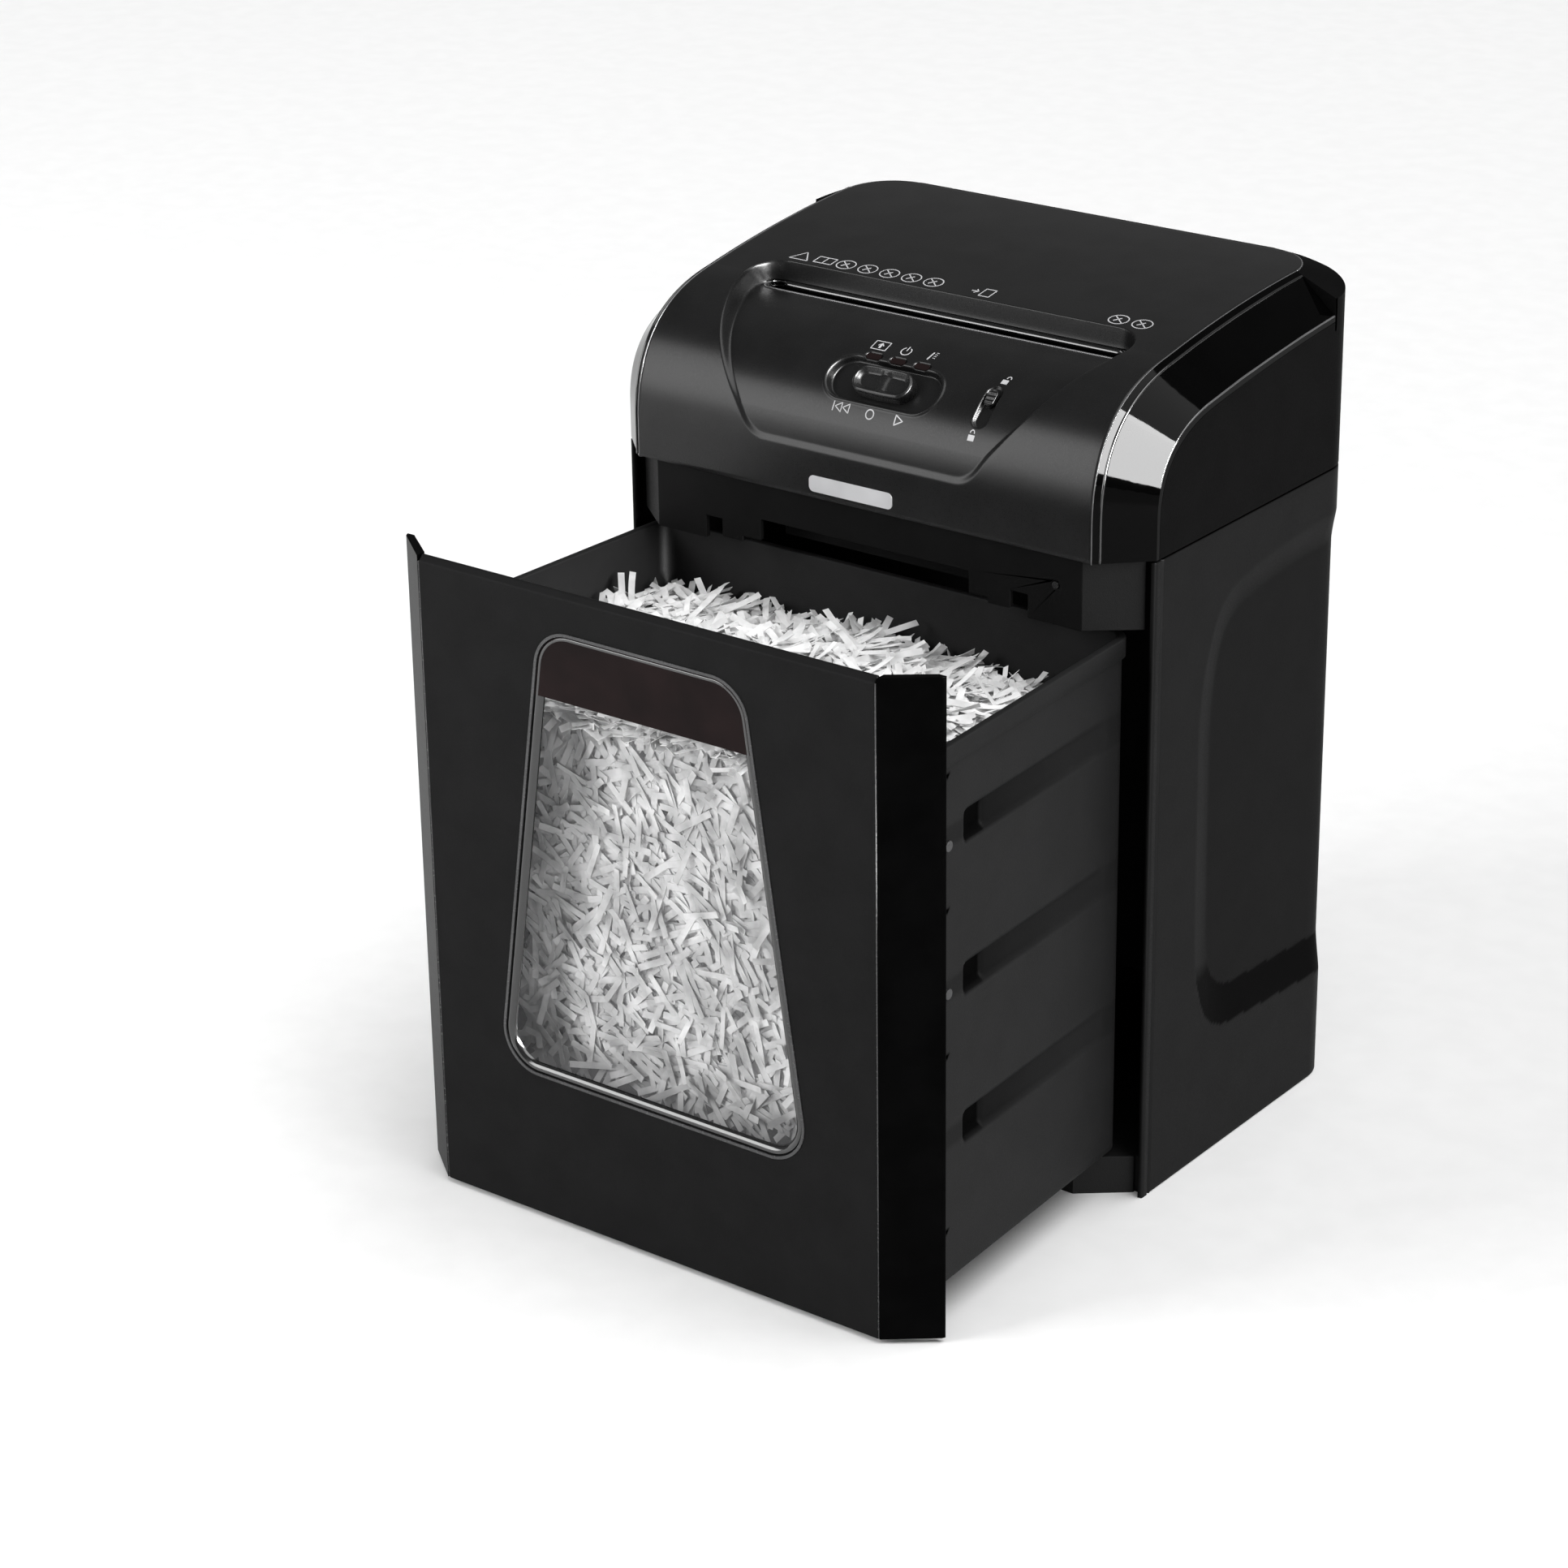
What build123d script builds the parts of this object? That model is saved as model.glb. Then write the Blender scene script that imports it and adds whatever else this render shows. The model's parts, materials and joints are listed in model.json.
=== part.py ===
from build123d import *
import math
import os

# Paper shredder: a shredding head fixed on a cabinet, with a pull-out bin that stands open at rest.
# Millimetres. X to the right, -Y to the front, Z up. The origin is the middle of the cabinet's foot.

# Cabinet
WIDTH = 342
DEPTH = 200
SEAM_Z = 365
SEAM_GAP = 0.3
WALL = 2.5
CORNER_R = 25
SIDE_X = WIDTH / 2
FRONT_Y = -DEPTH / 2
REAR_Y = DEPTH / 2
PANEL_SPLIT_X = 130
FIELD_DEPTH = 6
RUN_OUT = 1
FOOT_SPACING = (270, 150)
FOOT_H = 5
PLINTH_H = 22
NOSE_X = 138
NOSE_Y = FRONT_Y - 17
NOSE_CORNER = (163.5, NOSE_Y + 20.5)

# Head
HEAD_FRONT_Y = FRONT_Y - 22
HEAD_BOTTOM = 366
HEAD_REAR_Z = 473
CROWN = 3.3
SHOULDER = (-54, 458)
COVER_X = 146.5
TRIM_X = 147.2
TRIM_SHOULDER = (-53, 436)
TRIM_REAR_Z = 451
RIM_Y = 72
RIM_OUTER_Z = 461
FLOOR_TOP = (-50, 448.5)
RECESS_REAR_Y = -35.5
SHROUD_Z = 326
RIM_TOP_Z = 472
VENT_Z = 415
SHROUD_STEPS = ((0, 68, 344), (68, 80, 332), (80, 94, 329), (94, 105, 339))
BADGE_AT = (-4, 374)
BADGE_SIZE = (54, 9)
GLAND_X = -95
GLAND_Z = 388
GLAND_R = 7
GLAND_FLANGE = 3
GLAND_NOSE = 10
CORD_R = 3.5
BASE_T = 3
VENTS = (13, 14, 30, 5)
THROUGH = 60

# Sunk control panel: where its slope carries the switches and the lamps
CONTROL_X = 4
CONTROL_Y = -103.4
CONTROL_Z = 430.5
CONTROL_TILT = 42
LAMP_Y = -90.7
LAMP_Z = 439.4
LAMP_TILT = 28
LAMP_PITCH = 15.5
LOCK_X = 69.5
SWITCH_POCKET = (68, 23, 5)
LOCK_POCKET = (24, 8, 3)
KNOB = (37, 17)
LOCK_KNOB = (10, 6)
STEM_W = 4
KNOB_H = 6.5
LOCK_TRAVEL = 10
STEM_PLAY = 0.5
LAMP_SIZE = (9.4, 4)
LAMP_SUNK = 0.8
SWITCH_H = 9
SWITCH_CAVITY = 5
MODE_SWITCH = (46, 14)
LOCK_SWITCH = (20, 10)

# Cutters
ROLLER_Z = 404
THROAT_Y = -42
THROAT_BODY = (237, 14)
THROAT_SLOT = (227, 5)
THROAT_DEPTH = 20
ROLLER_GAP = 33
FRONT_ROLLER_Y = THROAT_Y - ROLLER_GAP / 2
REAR_ROLLER_Y = THROAT_Y + ROLLER_GAP / 2
DISC_R = 18.5
CORE_R = 13
DISC_T = 3.6
DISC_PITCH = 8
DISCS = 28
CORE_X = 113.5
JOURNAL_R = 6
RUNNING_FIT = 0.05
PLATE_X = 119.5
PLATE_T = 3
BUSH_R = 8
BUSH_X = 118
BUSH_L = 5.5
FINGER_W = 3.4
COMB_H = 8
JOURNAL_END = 128
PLATE_Y = (-88, 90)
PLATE_TOP = 436
TIE_BARS = ((-82, 376), (-81, 422), (4, 376), (4, 430))

# Gears
MODULE = 1.5
BACKLASH = 0.4
ROLLER_TEETH = 22
DRIVE_TEETH = 40
SMALL_TEETH = 14
BIG_TEETH = 40
PINION_TEETH = 12
ROLLER_GEAR_X = 124.5
DRIVE_GEAR_X = 134
BIG_GEAR_X = 144
IDLER_Y = REAR_ROLLER_Y + MODULE * (DRIVE_TEETH + SMALL_TEETH) / 2
MOTOR_Y = IDLER_Y + MODULE * (BIG_TEETH + PINION_TEETH) / 2
AXLE_R = 4
MOTOR_R = 28
MOTOR_X = 10
GEAR_W = 7
AXLE_END = 152
ROTOR_STEPS = ((6, 4, 145), (16, 22, 8), (34, 19, 54), (96, 10, 14))

# Electrics
BOARD_X = 139
BOARD_Y = -10
BOARD_Z = 402
BOARD_SIZE = (110, 56)
BOARD_T = 1.6
BOARD_BLOCKS = ((-30, 8, 26, 20), (5, 6, 18, 24))
BOARD_CANS = ((34, -8), (34, 12))
CAN_R = 7
CAN_H = 13
CONNECTOR = (-10, -18, 60, 8, 7)
SENSOR_SIZE = (14, 6, 9)
INTERLOCK_X = 122
INTERLOCK_Z = 348
INTERLOCK_SIZE = (20, 14, 16)
INTERLOCK_Y = NOSE_Y + 22
BRACKET_SIZE = (16, 12)
PLUNGER_R = 2
PLUNGER_L = 10.5
PLUNGER_PLAY = 0.3

# Bin, drawn where it stands open
OPENING = 182
PANEL_X = 144.5
PANEL_T = 4.5
PANEL_FRONT_Y = HEAD_FRONT_Y - 0.5 - OPENING
PANEL_BACK_Y = PANEL_FRONT_Y + PANEL_T
PANEL_BOTTOM = 2.7
PANEL_TOP = 364
WING_Y = PANEL_FRONT_Y + 22
TUB_REAR_Y = REAR_Y - 10 - OPENING
TUB_CORNER = (163.6, PANEL_BACK_Y + 18.5)
TUB_FRONT_X = 141.5
TUB_REAR_X = 154
TUB_BOTTOM = 24.5
RIM_Z = 321
RIM_H = 11
RIM_OUT = 2
GROOVES_Z = (106, 189, 272)
GROOVE_H = 24
GROOVE_DEPTH = 3
GROOVE_Y = (-250, -115)
CLIPS_Z = (51, 150, 230, 302)
SCREWS_Z = (189, 269)
FASTENER_Y = -270
WINDOW_BOTTOM = 87.5
WINDOW_TOP = 341
WINDOW_BOTTOM_X = 101
WINDOW_TOP_X = 64
WINDOW_R = 21
HANDLE_Z = 305
TRAY_BACK_Y = PANEL_FRONT_Y + 26
PAPER_T = 1.3
SCREW_R = 1.6
SCREW_HEAD_X = 162.6
SCREW_L = 6
SCREW_HEAD = (2.8, 1.2)
CLIP_SIZE = (10, 8)
WING_FOOT = 4.5
BEAD = (0.2, 1.8, 0.5)
HEAP_Y = (-292, -102)
HEAP_Z = (285, 312, 300)

os.makedirs("parts", exist_ok=True)


def save(part, name):
    """Label a finished piece and write its file."""
    part.label = name
    export_step(part, f"parts/{name}.step")


def upright(y):
    """The plane at a depth that faces the front, with its own Y pointing up."""
    return Plane(origin=(0, y, 0), x_dir=(1, 0, 0), z_dir=(0, -1, 0))


def tilted(x, y, z, angle):
    """A plane on the control panel's slope: its own Z points out of the panel, its Y up the slope."""
    lean = math.radians(angle)
    return Plane(origin=(x, y, z), x_dir=(1, 0, 0), z_dir=(0, -math.sin(lean), math.cos(lean)))


def across(x, y, z=ROLLER_Z):
    """A plane whose Z runs along the rollers, at a shaft's centre."""
    return Plane(origin=(x, y, z), x_dir=(0, 1, 0), z_dir=(1, 0, 0))


def footprint(plane, side_inset=0.0, rear_inset=0.0, front=FRONT_Y):
    """The cabinet's plan: square at the front, rounded at the rear."""
    half, rear = SIDE_X - side_inset, REAR_Y - rear_inset
    with BuildSketch(plane) as plan:
        with Locations((0, (front + rear) / 2)):
            Rectangle(2 * half, rear - front)
        fillet(plan.vertices().group_by(Axis.Y)[-1], CORNER_R - side_inset)
    return plan.sketch


def nosed_plan(plane, inset):
    """The cabinet's inside plan with the chamfered nose that fills the bin's hollow front."""
    with BuildSketch(plane) as plan:
        add(footprint(Plane.XY, inset, inset, FRONT_Y + 5))
        with BuildLine():
            Polyline((-NOSE_CORNER[0], FRONT_Y + 5), (-NOSE_CORNER[0], NOSE_CORNER[1]), (-NOSE_X, NOSE_Y),
                     (NOSE_X, NOSE_Y), NOSE_CORNER, (NOSE_CORNER[0], FRONT_Y + 5), close=True)
        make_face()
    return plan.sketch


def crown_z(y):
    """The height of the head's gently crowned top at a depth."""
    t = (y - SHOULDER[0]) / (REAR_Y - SHOULDER[0])
    return SHOULDER[1] + (HEAD_REAR_Z - SHOULDER[1]) * t + 4 * CROWN * t * (1 - t)


def head_side(plane, inset, bottom, rear):
    """The head in side view: upright front, round shoulder, crowned top."""
    front = HEAD_FRONT_Y + inset
    shoulder = (SHOULDER[0] + inset, SHOULDER[1] - inset)
    middle = (SHOULDER[0] + rear) / 2
    end = (rear + inset, crown_z(rear) - inset)
    with BuildSketch(plane) as side:
        with BuildLine():
            Line((front, bottom), (front, 386 - inset))
            Bezier((front, 386 - inset), (front, 432 - inset), (-96 + inset, 452 - inset), shoulder)
            ThreePointArc(shoulder, (middle + inset, crown_z(middle) - inset), end)
            Polyline(end, (end[0], bottom), (front, bottom))
        make_face()
    return side.sketch


def trim_side(plane, inset, bottom):
    """The outer, lower edge of the head's chamfer in side view."""
    front = FRONT_Y + 1 + inset
    shoulder = (TRIM_SHOULDER[0] + inset, TRIM_SHOULDER[1] - inset)
    end = (RIM_Y + inset, TRIM_REAR_Z - inset)
    with BuildSketch(plane) as side:
        with BuildLine():
            Line((front, bottom), (front, 387 - inset))
            Bezier((front, 387 - inset), (front, 415 - inset), (-83 + inset, 430 - inset), shoulder)
            ThreePointArc(shoulder, (10 + inset, 445 - inset), end)
            Polyline(end, (end[0], bottom), (front, bottom))
        make_face()
    return side.sketch


def recess_outline(grow):
    """The sunk control panel's outline, on the slope's plane."""
    with BuildSketch(tilted(0, CONTROL_Y, CONTROL_Z, CONTROL_TILT)) as outline:
        with BuildLine():
            Polyline((-71, -40), (-101, -4), (-126, 54), (-126, 90), (126, 90), (126, 54),
                     (101, -4), (71, -40), close=True)
        make_face()
        fillet(outline.vertices().sort_by(Axis.Y)[:2], 14)
        if grow:
            offset(amount=grow, kind=Kind.INTERSECTION)
    return outline.sketch


def under_floor(drop):
    """What lies under and behind the sunk panel's floor, in side view."""
    front, rear = HEAD_FRONT_Y + drop, RECESS_REAR_Y + drop
    top = (FLOOR_TOP[0], FLOOR_TOP[1] - drop)
    with BuildSketch(Plane.YZ) as side:
        with BuildLine():
            Bezier((front, 388), (-121 + drop, 423 - drop), (-96, 446 - drop), top)
            Polyline(top, (rear, top[1]), (rear, 520), (REAR_Y, 520), (REAR_Y, 300), (front, 300),
                     (front, 388))
        make_face()
    return side.sketch


def field_outline(grow):
    """A side panel's sunk field, as seen from the side; it runs on past the rear."""
    with BuildSketch(Plane.YZ.offset(PANEL_SPLIT_X)) as field:
        with BuildLine():
            Polyline((REAR_Y + 20, 336), (12, 334), (-29, 323), (-50, 280), (-52, 211), (-47, 104),
                     (-30, 78), (REAR_Y + 20, 66), close=True)
        make_face()
        fillet(field.vertices().sort_by(Axis.Y)[:5], 12)
        if grow:
            offset(amount=grow, kind=Kind.INTERSECTION)
    return field.sketch


def window_outline(plane, grow):
    """The window's round-cornered trapezoid."""
    with BuildSketch(plane) as outline:
        with BuildLine():
            Polyline((-WINDOW_BOTTOM_X, WINDOW_BOTTOM), (WINDOW_BOTTOM_X, WINDOW_BOTTOM),
                     (WINDOW_TOP_X, WINDOW_TOP), (-WINDOW_TOP_X, WINDOW_TOP), close=True)
        make_face()
        fillet(outline.vertices(), WINDOW_R)
        if grow:
            offset(amount=grow)
    return outline.sketch


def tub_plan(plane, inset):
    """The bin tub's plan: chamfered front corners, sides that draw in to the rear."""
    with BuildSketch(plane) as plan:
        with BuildLine():
            Polyline((-TUB_FRONT_X, PANEL_BACK_Y), (TUB_FRONT_X, PANEL_BACK_Y), TUB_CORNER,
                     (TUB_REAR_X, TUB_REAR_Y), (-TUB_REAR_X, TUB_REAR_Y),
                     (-TUB_CORNER[0], TUB_CORNER[1]), close=True)
        make_face()
        fillet(plan.vertices().group_by(Axis.Y)[-1], 12)
        if inset:
            offset(amount=-inset, kind=Kind.INTERSECTION)
    return plan.sketch


def tub_layers():
    """Low and high Z and wall inset of each layer of the tub's room: deeper-set where a groove is."""
    wall, low = RIM_OUT + WALL, TUB_BOTTOM + WALL
    layers = []
    for z in GROOVES_Z:
        groove_low, groove_high = z - GROOVE_H / 2 - WALL, z + GROOVE_H / 2 + WALL
        layers += [(low, groove_low, wall), (groove_low, groove_high, wall + GROOVE_DEPTH)]
        low = groove_high
    return layers + [(low, RIM_Z + 1, wall)]


def gear_outline(plane, teeth, phase, bore_r):
    """A spur gear with straight-flanked teeth, thinned for backlash, and its bore."""
    pitch_r = MODULE * teeth / 2
    tip_r, root_r = pitch_r + 0.9 * MODULE, pitch_r - 1.2 * MODULE
    half = (math.pi * MODULE / 2 - BACKLASH) / 2
    slope = math.tan(math.radians(20))
    tip_turn = (half - slope * (tip_r - pitch_r)) / tip_r
    root_turn = (half + slope * (pitch_r - root_r)) / root_r
    points = []
    for tooth in range(teeth):
        middle = phase + 2 * math.pi * tooth / teeth
        for r, turn in ((root_r, -root_turn), (tip_r, -tip_turn), (tip_r, tip_turn), (root_r, root_turn)):
            points.append((r * math.cos(middle + turn), r * math.sin(middle + turn)))
    with BuildSketch(plane) as gear:
        with BuildLine():
            Polyline(*points, close=True)
        make_face()
        Circle(bore_r, mode=Mode.SUBTRACT)
    return gear.sketch


def disc_centres(shift):
    """Where a roller's discs stand along it."""
    return [(i - (DISCS - 1) / 2) * DISC_PITCH + shift for i in range(DISCS)]


# ---------------------------------------------------------------- cabinet

with BuildPart() as base_plinth:
    extrude(nosed_plan(Plane.XY, WALL + 0.2), amount=PLINTH_H)
    with BuildSketch(Plane.XY):
        add(nosed_plan(Plane.XY, WALL + 0.2))
        offset(amount=-WALL, kind=Kind.INTERSECTION)
    extrude(amount=PLINTH_H - WALL, mode=Mode.SUBTRACT)
    with BuildSketch(Plane.XY.offset(FOOT_H)):
        with GridLocations(*FOOT_SPACING, 2, 2):
            Circle(12)
    extrude(amount=PLINTH_H - WALL - FOOT_H)
save(base_plinth.part, "base_plinth")

with BuildPart() as rubber_feet:
    with BuildSketch(Plane.XY):
        with GridLocations(*FOOT_SPACING, 2, 2):
            Circle(10)
    extrude(amount=FOOT_H)
save(rubber_feet.part, "rubber_feet")

# The sunk field in a side panel: the hollow outside, and the same shape a wall's thickness larger inside.
# It runs out on the rounded corner, because its ground crosses the corner's arc there.
with BuildPart() as side_field:
    extrude(field_outline(0), amount=SIDE_X)
    extrude(footprint(Plane.XY, FIELD_DEPTH, -RUN_OUT), amount=SEAM_Z, mode=Mode.SUBTRACT)

with BuildPart() as side_field_back:
    extrude(field_outline(WALL), amount=SIDE_X)
    extrude(footprint(Plane.XY, FIELD_DEPTH + WALL, WALL - RUN_OUT), amount=SEAM_Z, mode=Mode.SUBTRACT)

with BuildPart() as cabinet_room:
    extrude(footprint(Plane.XY, WALL, WALL, FRONT_Y - 1), amount=SEAM_Z)
    add(side_field_back.part, mode=Mode.SUBTRACT)

with BuildPart() as side_panel_right:
    extrude(footprint(Plane.XY), amount=SEAM_Z - SEAM_GAP)
    add(cabinet_room.part, mode=Mode.SUBTRACT)
    add(side_field.part, mode=Mode.SUBTRACT)
    # the groove behind the bead on the front edge
    with BuildSketch(Plane.XY):
        with Locations((SIDE_X, FRONT_Y + 6.5)):
            Rectangle(2, 1.6)
    extrude(amount=SEAM_Z, mode=Mode.SUBTRACT)
    split(bisect_by=Plane.YZ.offset(PANEL_SPLIT_X), keep=Keep.TOP)
save(side_panel_right.part, "side_panel_right")

with BuildPart() as side_panel_left:
    mirror(side_panel_right.part, about=Plane.YZ)
save(side_panel_left.part, "side_panel_left")

with BuildPart() as back_panel:
    with BuildSketch(upright(REAR_Y)):
        with Locations((0, (SEAM_Z - SEAM_GAP) / 2)):
            Rectangle(2 * PANEL_SPLIT_X - SEAM_GAP, SEAM_Z - SEAM_GAP)
    extrude(amount=WALL)
save(back_panel.part, "back_panel")

# ---------------------------------------------------------------- head casing

control_plane = tilted(CONTROL_X, CONTROL_Y, CONTROL_Z, CONTROL_TILT)
lock_plane = tilted(LOCK_X, CONTROL_Y, CONTROL_Z, CONTROL_TILT)
lamp_plane = tilted(CONTROL_X, LAMP_Y, LAMP_Z, LAMP_TILT)
throat_plane = Plane.XY.offset(FLOOR_TOP[1] - THROAT_DEPTH)
pockets = ((control_plane, SWITCH_POCKET, KNOB[0] - 3, 0), (lock_plane, LOCK_POCKET, LOCK_TRAVEL, 90))

with BuildPart() as recess_void:
    extrude(recess_outline(0), amount=THROUGH, both=True)
    extrude(under_floor(0), amount=WIDTH, both=True, mode=Mode.SUBTRACT)

with BuildPart() as recess_back:
    extrude(recess_outline(WALL), amount=THROUGH, both=True)
    extrude(under_floor(WALL), amount=WIDTH, both=True, mode=Mode.SUBTRACT)

with BuildPart() as cover_room:
    extrude(head_side(Plane.YZ, WALL, HEAD_BOTTOM - 1, REAR_Y), amount=WIDTH, both=True)
    add(recess_back.part, mode=Mode.SUBTRACT)

with BuildPart() as head_top_cover:
    extrude(head_side(Plane.YZ, 0, HEAD_BOTTOM, REAR_Y), amount=COVER_X, both=True)
    add(cover_room.part, mode=Mode.SUBTRACT)
    add(recess_void.part, mode=Mode.SUBTRACT)
    for plane, (length, width, depth), stem_travel, turn in pockets:
        # the boss behind the pocket, the pocket, and the slot for the knob's stem
        with BuildSketch(plane.offset(-depth - WALL)):
            SlotOverall(length + 2 * WALL, width + 2 * WALL, rotation=turn)
        extrude(amount=depth + WALL / 2)
        with BuildSketch(plane.offset(-depth)):
            SlotOverall(length, width, rotation=turn)
        extrude(amount=depth + 20, mode=Mode.SUBTRACT)
        with BuildSketch(plane.offset(-depth - WALL - 1)):
            Rectangle(stem_travel + STEM_W + 2 * STEM_PLAY, STEM_W + 2 * STEM_PLAY, rotation=turn)
        extrude(amount=WALL + 2, mode=Mode.SUBTRACT)
    with BuildSketch(lamp_plane.offset(-10)):
        with GridLocations(LAMP_PITCH, 0, 3, 1):
            SlotOverall(*LAMP_SIZE)
    extrude(amount=20, mode=Mode.SUBTRACT)
    with BuildSketch(throat_plane):
        with Locations((0, THROAT_Y)):
            SlotOverall(*THROAT_BODY)
    extrude(amount=THROAT_DEPTH + 1, mode=Mode.SUBTRACT)
save(head_top_cover.part, "head_top_cover")

with BuildPart() as trim_outside:
    loft([head_side(Plane.YZ.offset(TRIM_X), 0, HEAD_BOTTOM, RIM_Y),
          trim_side(Plane.YZ.offset(SIDE_X), 0, HEAD_BOTTOM)], ruled=True)

with BuildPart() as trim_inside:
    loft([head_side(Plane.YZ.offset(TRIM_X), WALL, HEAD_BOTTOM, RIM_Y),
          trim_side(Plane.YZ.offset(SIDE_X), WALL, HEAD_BOTTOM)], ruled=True)

with BuildPart() as head_trim_right:
    add(trim_outside.part)
    add(trim_inside.part, mode=Mode.SUBTRACT)
save(head_trim_right.part, "head_trim_right")

with BuildPart() as head_trim_left:
    mirror(head_trim_right.part, about=Plane.YZ)
save(head_trim_left.part, "head_trim_left")

with BuildPart() as head_shell:
    # side and back walls
    extrude(footprint(Plane.XY.offset(SEAM_Z)), amount=HEAD_REAR_Z - SEAM_Z - WALL - SEAM_GAP)
    extrude(footprint(Plane.XY.offset(SEAM_Z), WALL, WALL, FRONT_Y - 1), amount=HEAD_REAR_Z - SEAM_Z,
            mode=Mode.SUBTRACT)
    # the rim's sloping rear band and its front wall, one on each side
    for side in (-1, 1):
        outer, inner = side * SIDE_X, side * TRIM_X
        with BuildSketch(upright(RIM_Y + SEAM_GAP)):
            with BuildLine():
                Polyline((inner, RIM_TOP_Z), (outer, RIM_OUTER_Z), (outer, RIM_OUTER_Z - WALL),
                         (inner, RIM_TOP_Z - WALL), close=True)
            make_face()
        extrude(amount=RIM_Y + SEAM_GAP - REAR_Y)
        with BuildSketch(upright(RIM_Y + SEAM_GAP)):
            with BuildLine():
                Polyline((inner, RIM_TOP_Z), (outer, RIM_OUTER_Z), (outer, TRIM_REAR_Z - 8),
                         (inner, TRIM_REAR_Z - 8), close=True)
            make_face()
        extrude(amount=-WALL)
    # cut the side walls down to the trims, and everything to the rounded plan and the rim's slope
    with BuildSketch(Plane.YZ):
        with Locations(((FRONT_Y + RIM_Y) / 2, SEAM_Z + 100)):
            Rectangle(RIM_Y - FRONT_Y, 200)
        add(trim_side(Plane.XY, WALL + SEAM_GAP, SEAM_Z), mode=Mode.SUBTRACT)
    extrude(amount=WIDTH, both=True, mode=Mode.SUBTRACT)
    extrude(footprint(Plane.XY.offset(SEAM_Z)), amount=HEAD_REAR_Z, mode=Mode.INTERSECT)
    with BuildSketch(upright(REAR_Y)):
        with BuildLine():
            Polyline((TRIM_X, RIM_TOP_Z), (SIDE_X, RIM_OUTER_Z), (SIDE_X, SEAM_Z), (-SIDE_X, SEAM_Z),
                     (-SIDE_X, RIM_OUTER_Z), (-TRIM_X, RIM_TOP_Z), close=True)
        make_face()
    extrude(amount=DEPTH, mode=Mode.INTERSECT)
    with BuildSketch(upright(REAR_Y)):
        with Locations((GLAND_X, GLAND_Z)):
            Circle(GLAND_R)
        with Locations((0, VENT_Z)):
            with GridLocations(VENTS[1], 0, VENTS[0], 1):
                SlotOverall(VENTS[2], VENTS[3], rotation=90)
    extrude(amount=WALL, mode=Mode.SUBTRACT)

# the shell is moulded as a back and two sides, like the cabinet below it
with BuildPart() as head_back:
    add(head_shell.part)
    with BuildSketch(Plane.XY.offset(SEAM_Z)):
        Rectangle(2 * PANEL_SPLIT_X - SEAM_GAP, 2 * DEPTH)
    extrude(amount=HEAD_REAR_Z, mode=Mode.INTERSECT)
save(head_back.part, "head_back")

with BuildPart() as head_side_right:
    add(head_shell.part)
    split(bisect_by=Plane.YZ.offset(PANEL_SPLIT_X), keep=Keep.TOP)
save(head_side_right.part, "head_side_right")

with BuildPart() as head_side_left:
    mirror(head_side_right.part, about=Plane.YZ)
save(head_side_left.part, "head_side_left")

with BuildPart() as head_base:
    extrude(nosed_plan(Plane.XY.offset(SEAM_Z + SEAM_GAP), WALL + SEAM_GAP), amount=BASE_T)
    with BuildSketch(Plane.XY.offset(SEAM_Z)):
        with Locations((0, THROAT_Y)):
            Rectangle(2 * PLATE_X - 10, 76)
    extrude(amount=BASE_T + 1, mode=Mode.SUBTRACT)
save(head_base.part, "head_base")

with BuildPart() as lower_shroud:
    with BuildSketch(Plane.XY.offset(SHROUD_Z)):
        with BuildLine():
            Polyline((-NOSE_CORNER[0], NOSE_CORNER[1]), (-NOSE_X, NOSE_Y), (NOSE_X, NOSE_Y), NOSE_CORNER,
                     (NOSE_CORNER[0] - 3, NOSE_CORNER[1] + 1.5), (NOSE_X - 1, NOSE_Y + 3),
                     (1 - NOSE_X, NOSE_Y + 3), (3 - NOSE_CORNER[0], NOSE_CORNER[1] + 1.5), close=True)
        make_face()
    extrude(amount=SEAM_Z - SHROUD_Z)
    # the stepped lower edge: high in the middle, two blocks and a notch towards each end
    with BuildSketch(upright(NOSE_Y + 10)):
        for low, high, z in SHROUD_STEPS:
            with Locations(((low + high) / 2, (SHROUD_Z + z) / 2), (-(low + high) / 2, (SHROUD_Z + z) / 2)):
                Rectangle(high - low, z - SHROUD_Z)
    extrude(amount=20, mode=Mode.SUBTRACT)
    with BuildSketch(upright(NOSE_Y + 10)):
        with Locations((INTERLOCK_X, INTERLOCK_Z)):
            Circle(PLUNGER_R + PLUNGER_PLAY)
    extrude(amount=20, mode=Mode.SUBTRACT)
save(lower_shroud.part, "lower_shroud")

with BuildPart() as throat_guide:
    with BuildSketch(throat_plane):
        with Locations((0, THROAT_Y)):
            SlotOverall(THROAT_BODY[0] - 0.4, THROAT_BODY[1] - 0.4)
            SlotOverall(*THROAT_SLOT, mode=Mode.SUBTRACT)
    extrude(amount=THROAT_DEPTH - 1)
save(throat_guide.part, "throat_guide")

with BuildPart() as indicator_windows:
    with BuildSketch(lamp_plane.offset(-WALL)):
        with GridLocations(LAMP_PITCH, 0, 3, 1):
            SlotOverall(LAMP_SIZE[0] - 0.2, LAMP_SIZE[1] - 0.2)
    extrude(amount=WALL - LAMP_SUNK)
save(indicator_windows.part, "indicator_windows")

with BuildPart() as name_badge:
    with BuildSketch(upright(HEAD_FRONT_Y)):
        with Locations(BADGE_AT):
            RectangleRounded(*BADGE_SIZE, 3)
    extrude(amount=0.4)
save(name_badge.part, "name_badge")

with BuildPart() as mode_knob:
    with BuildSketch(control_plane.offset(0.4 - SWITCH_POCKET[2])):
        SlotOverall(*KNOB)
    extrude(amount=KNOB_H)
    with BuildSketch(control_plane.offset(-SWITCH_POCKET[2] - WALL - 3)):
        Rectangle(STEM_W, STEM_W)
    extrude(amount=WALL + 3.5)
save(mode_knob.part, "mode_knob")

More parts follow.
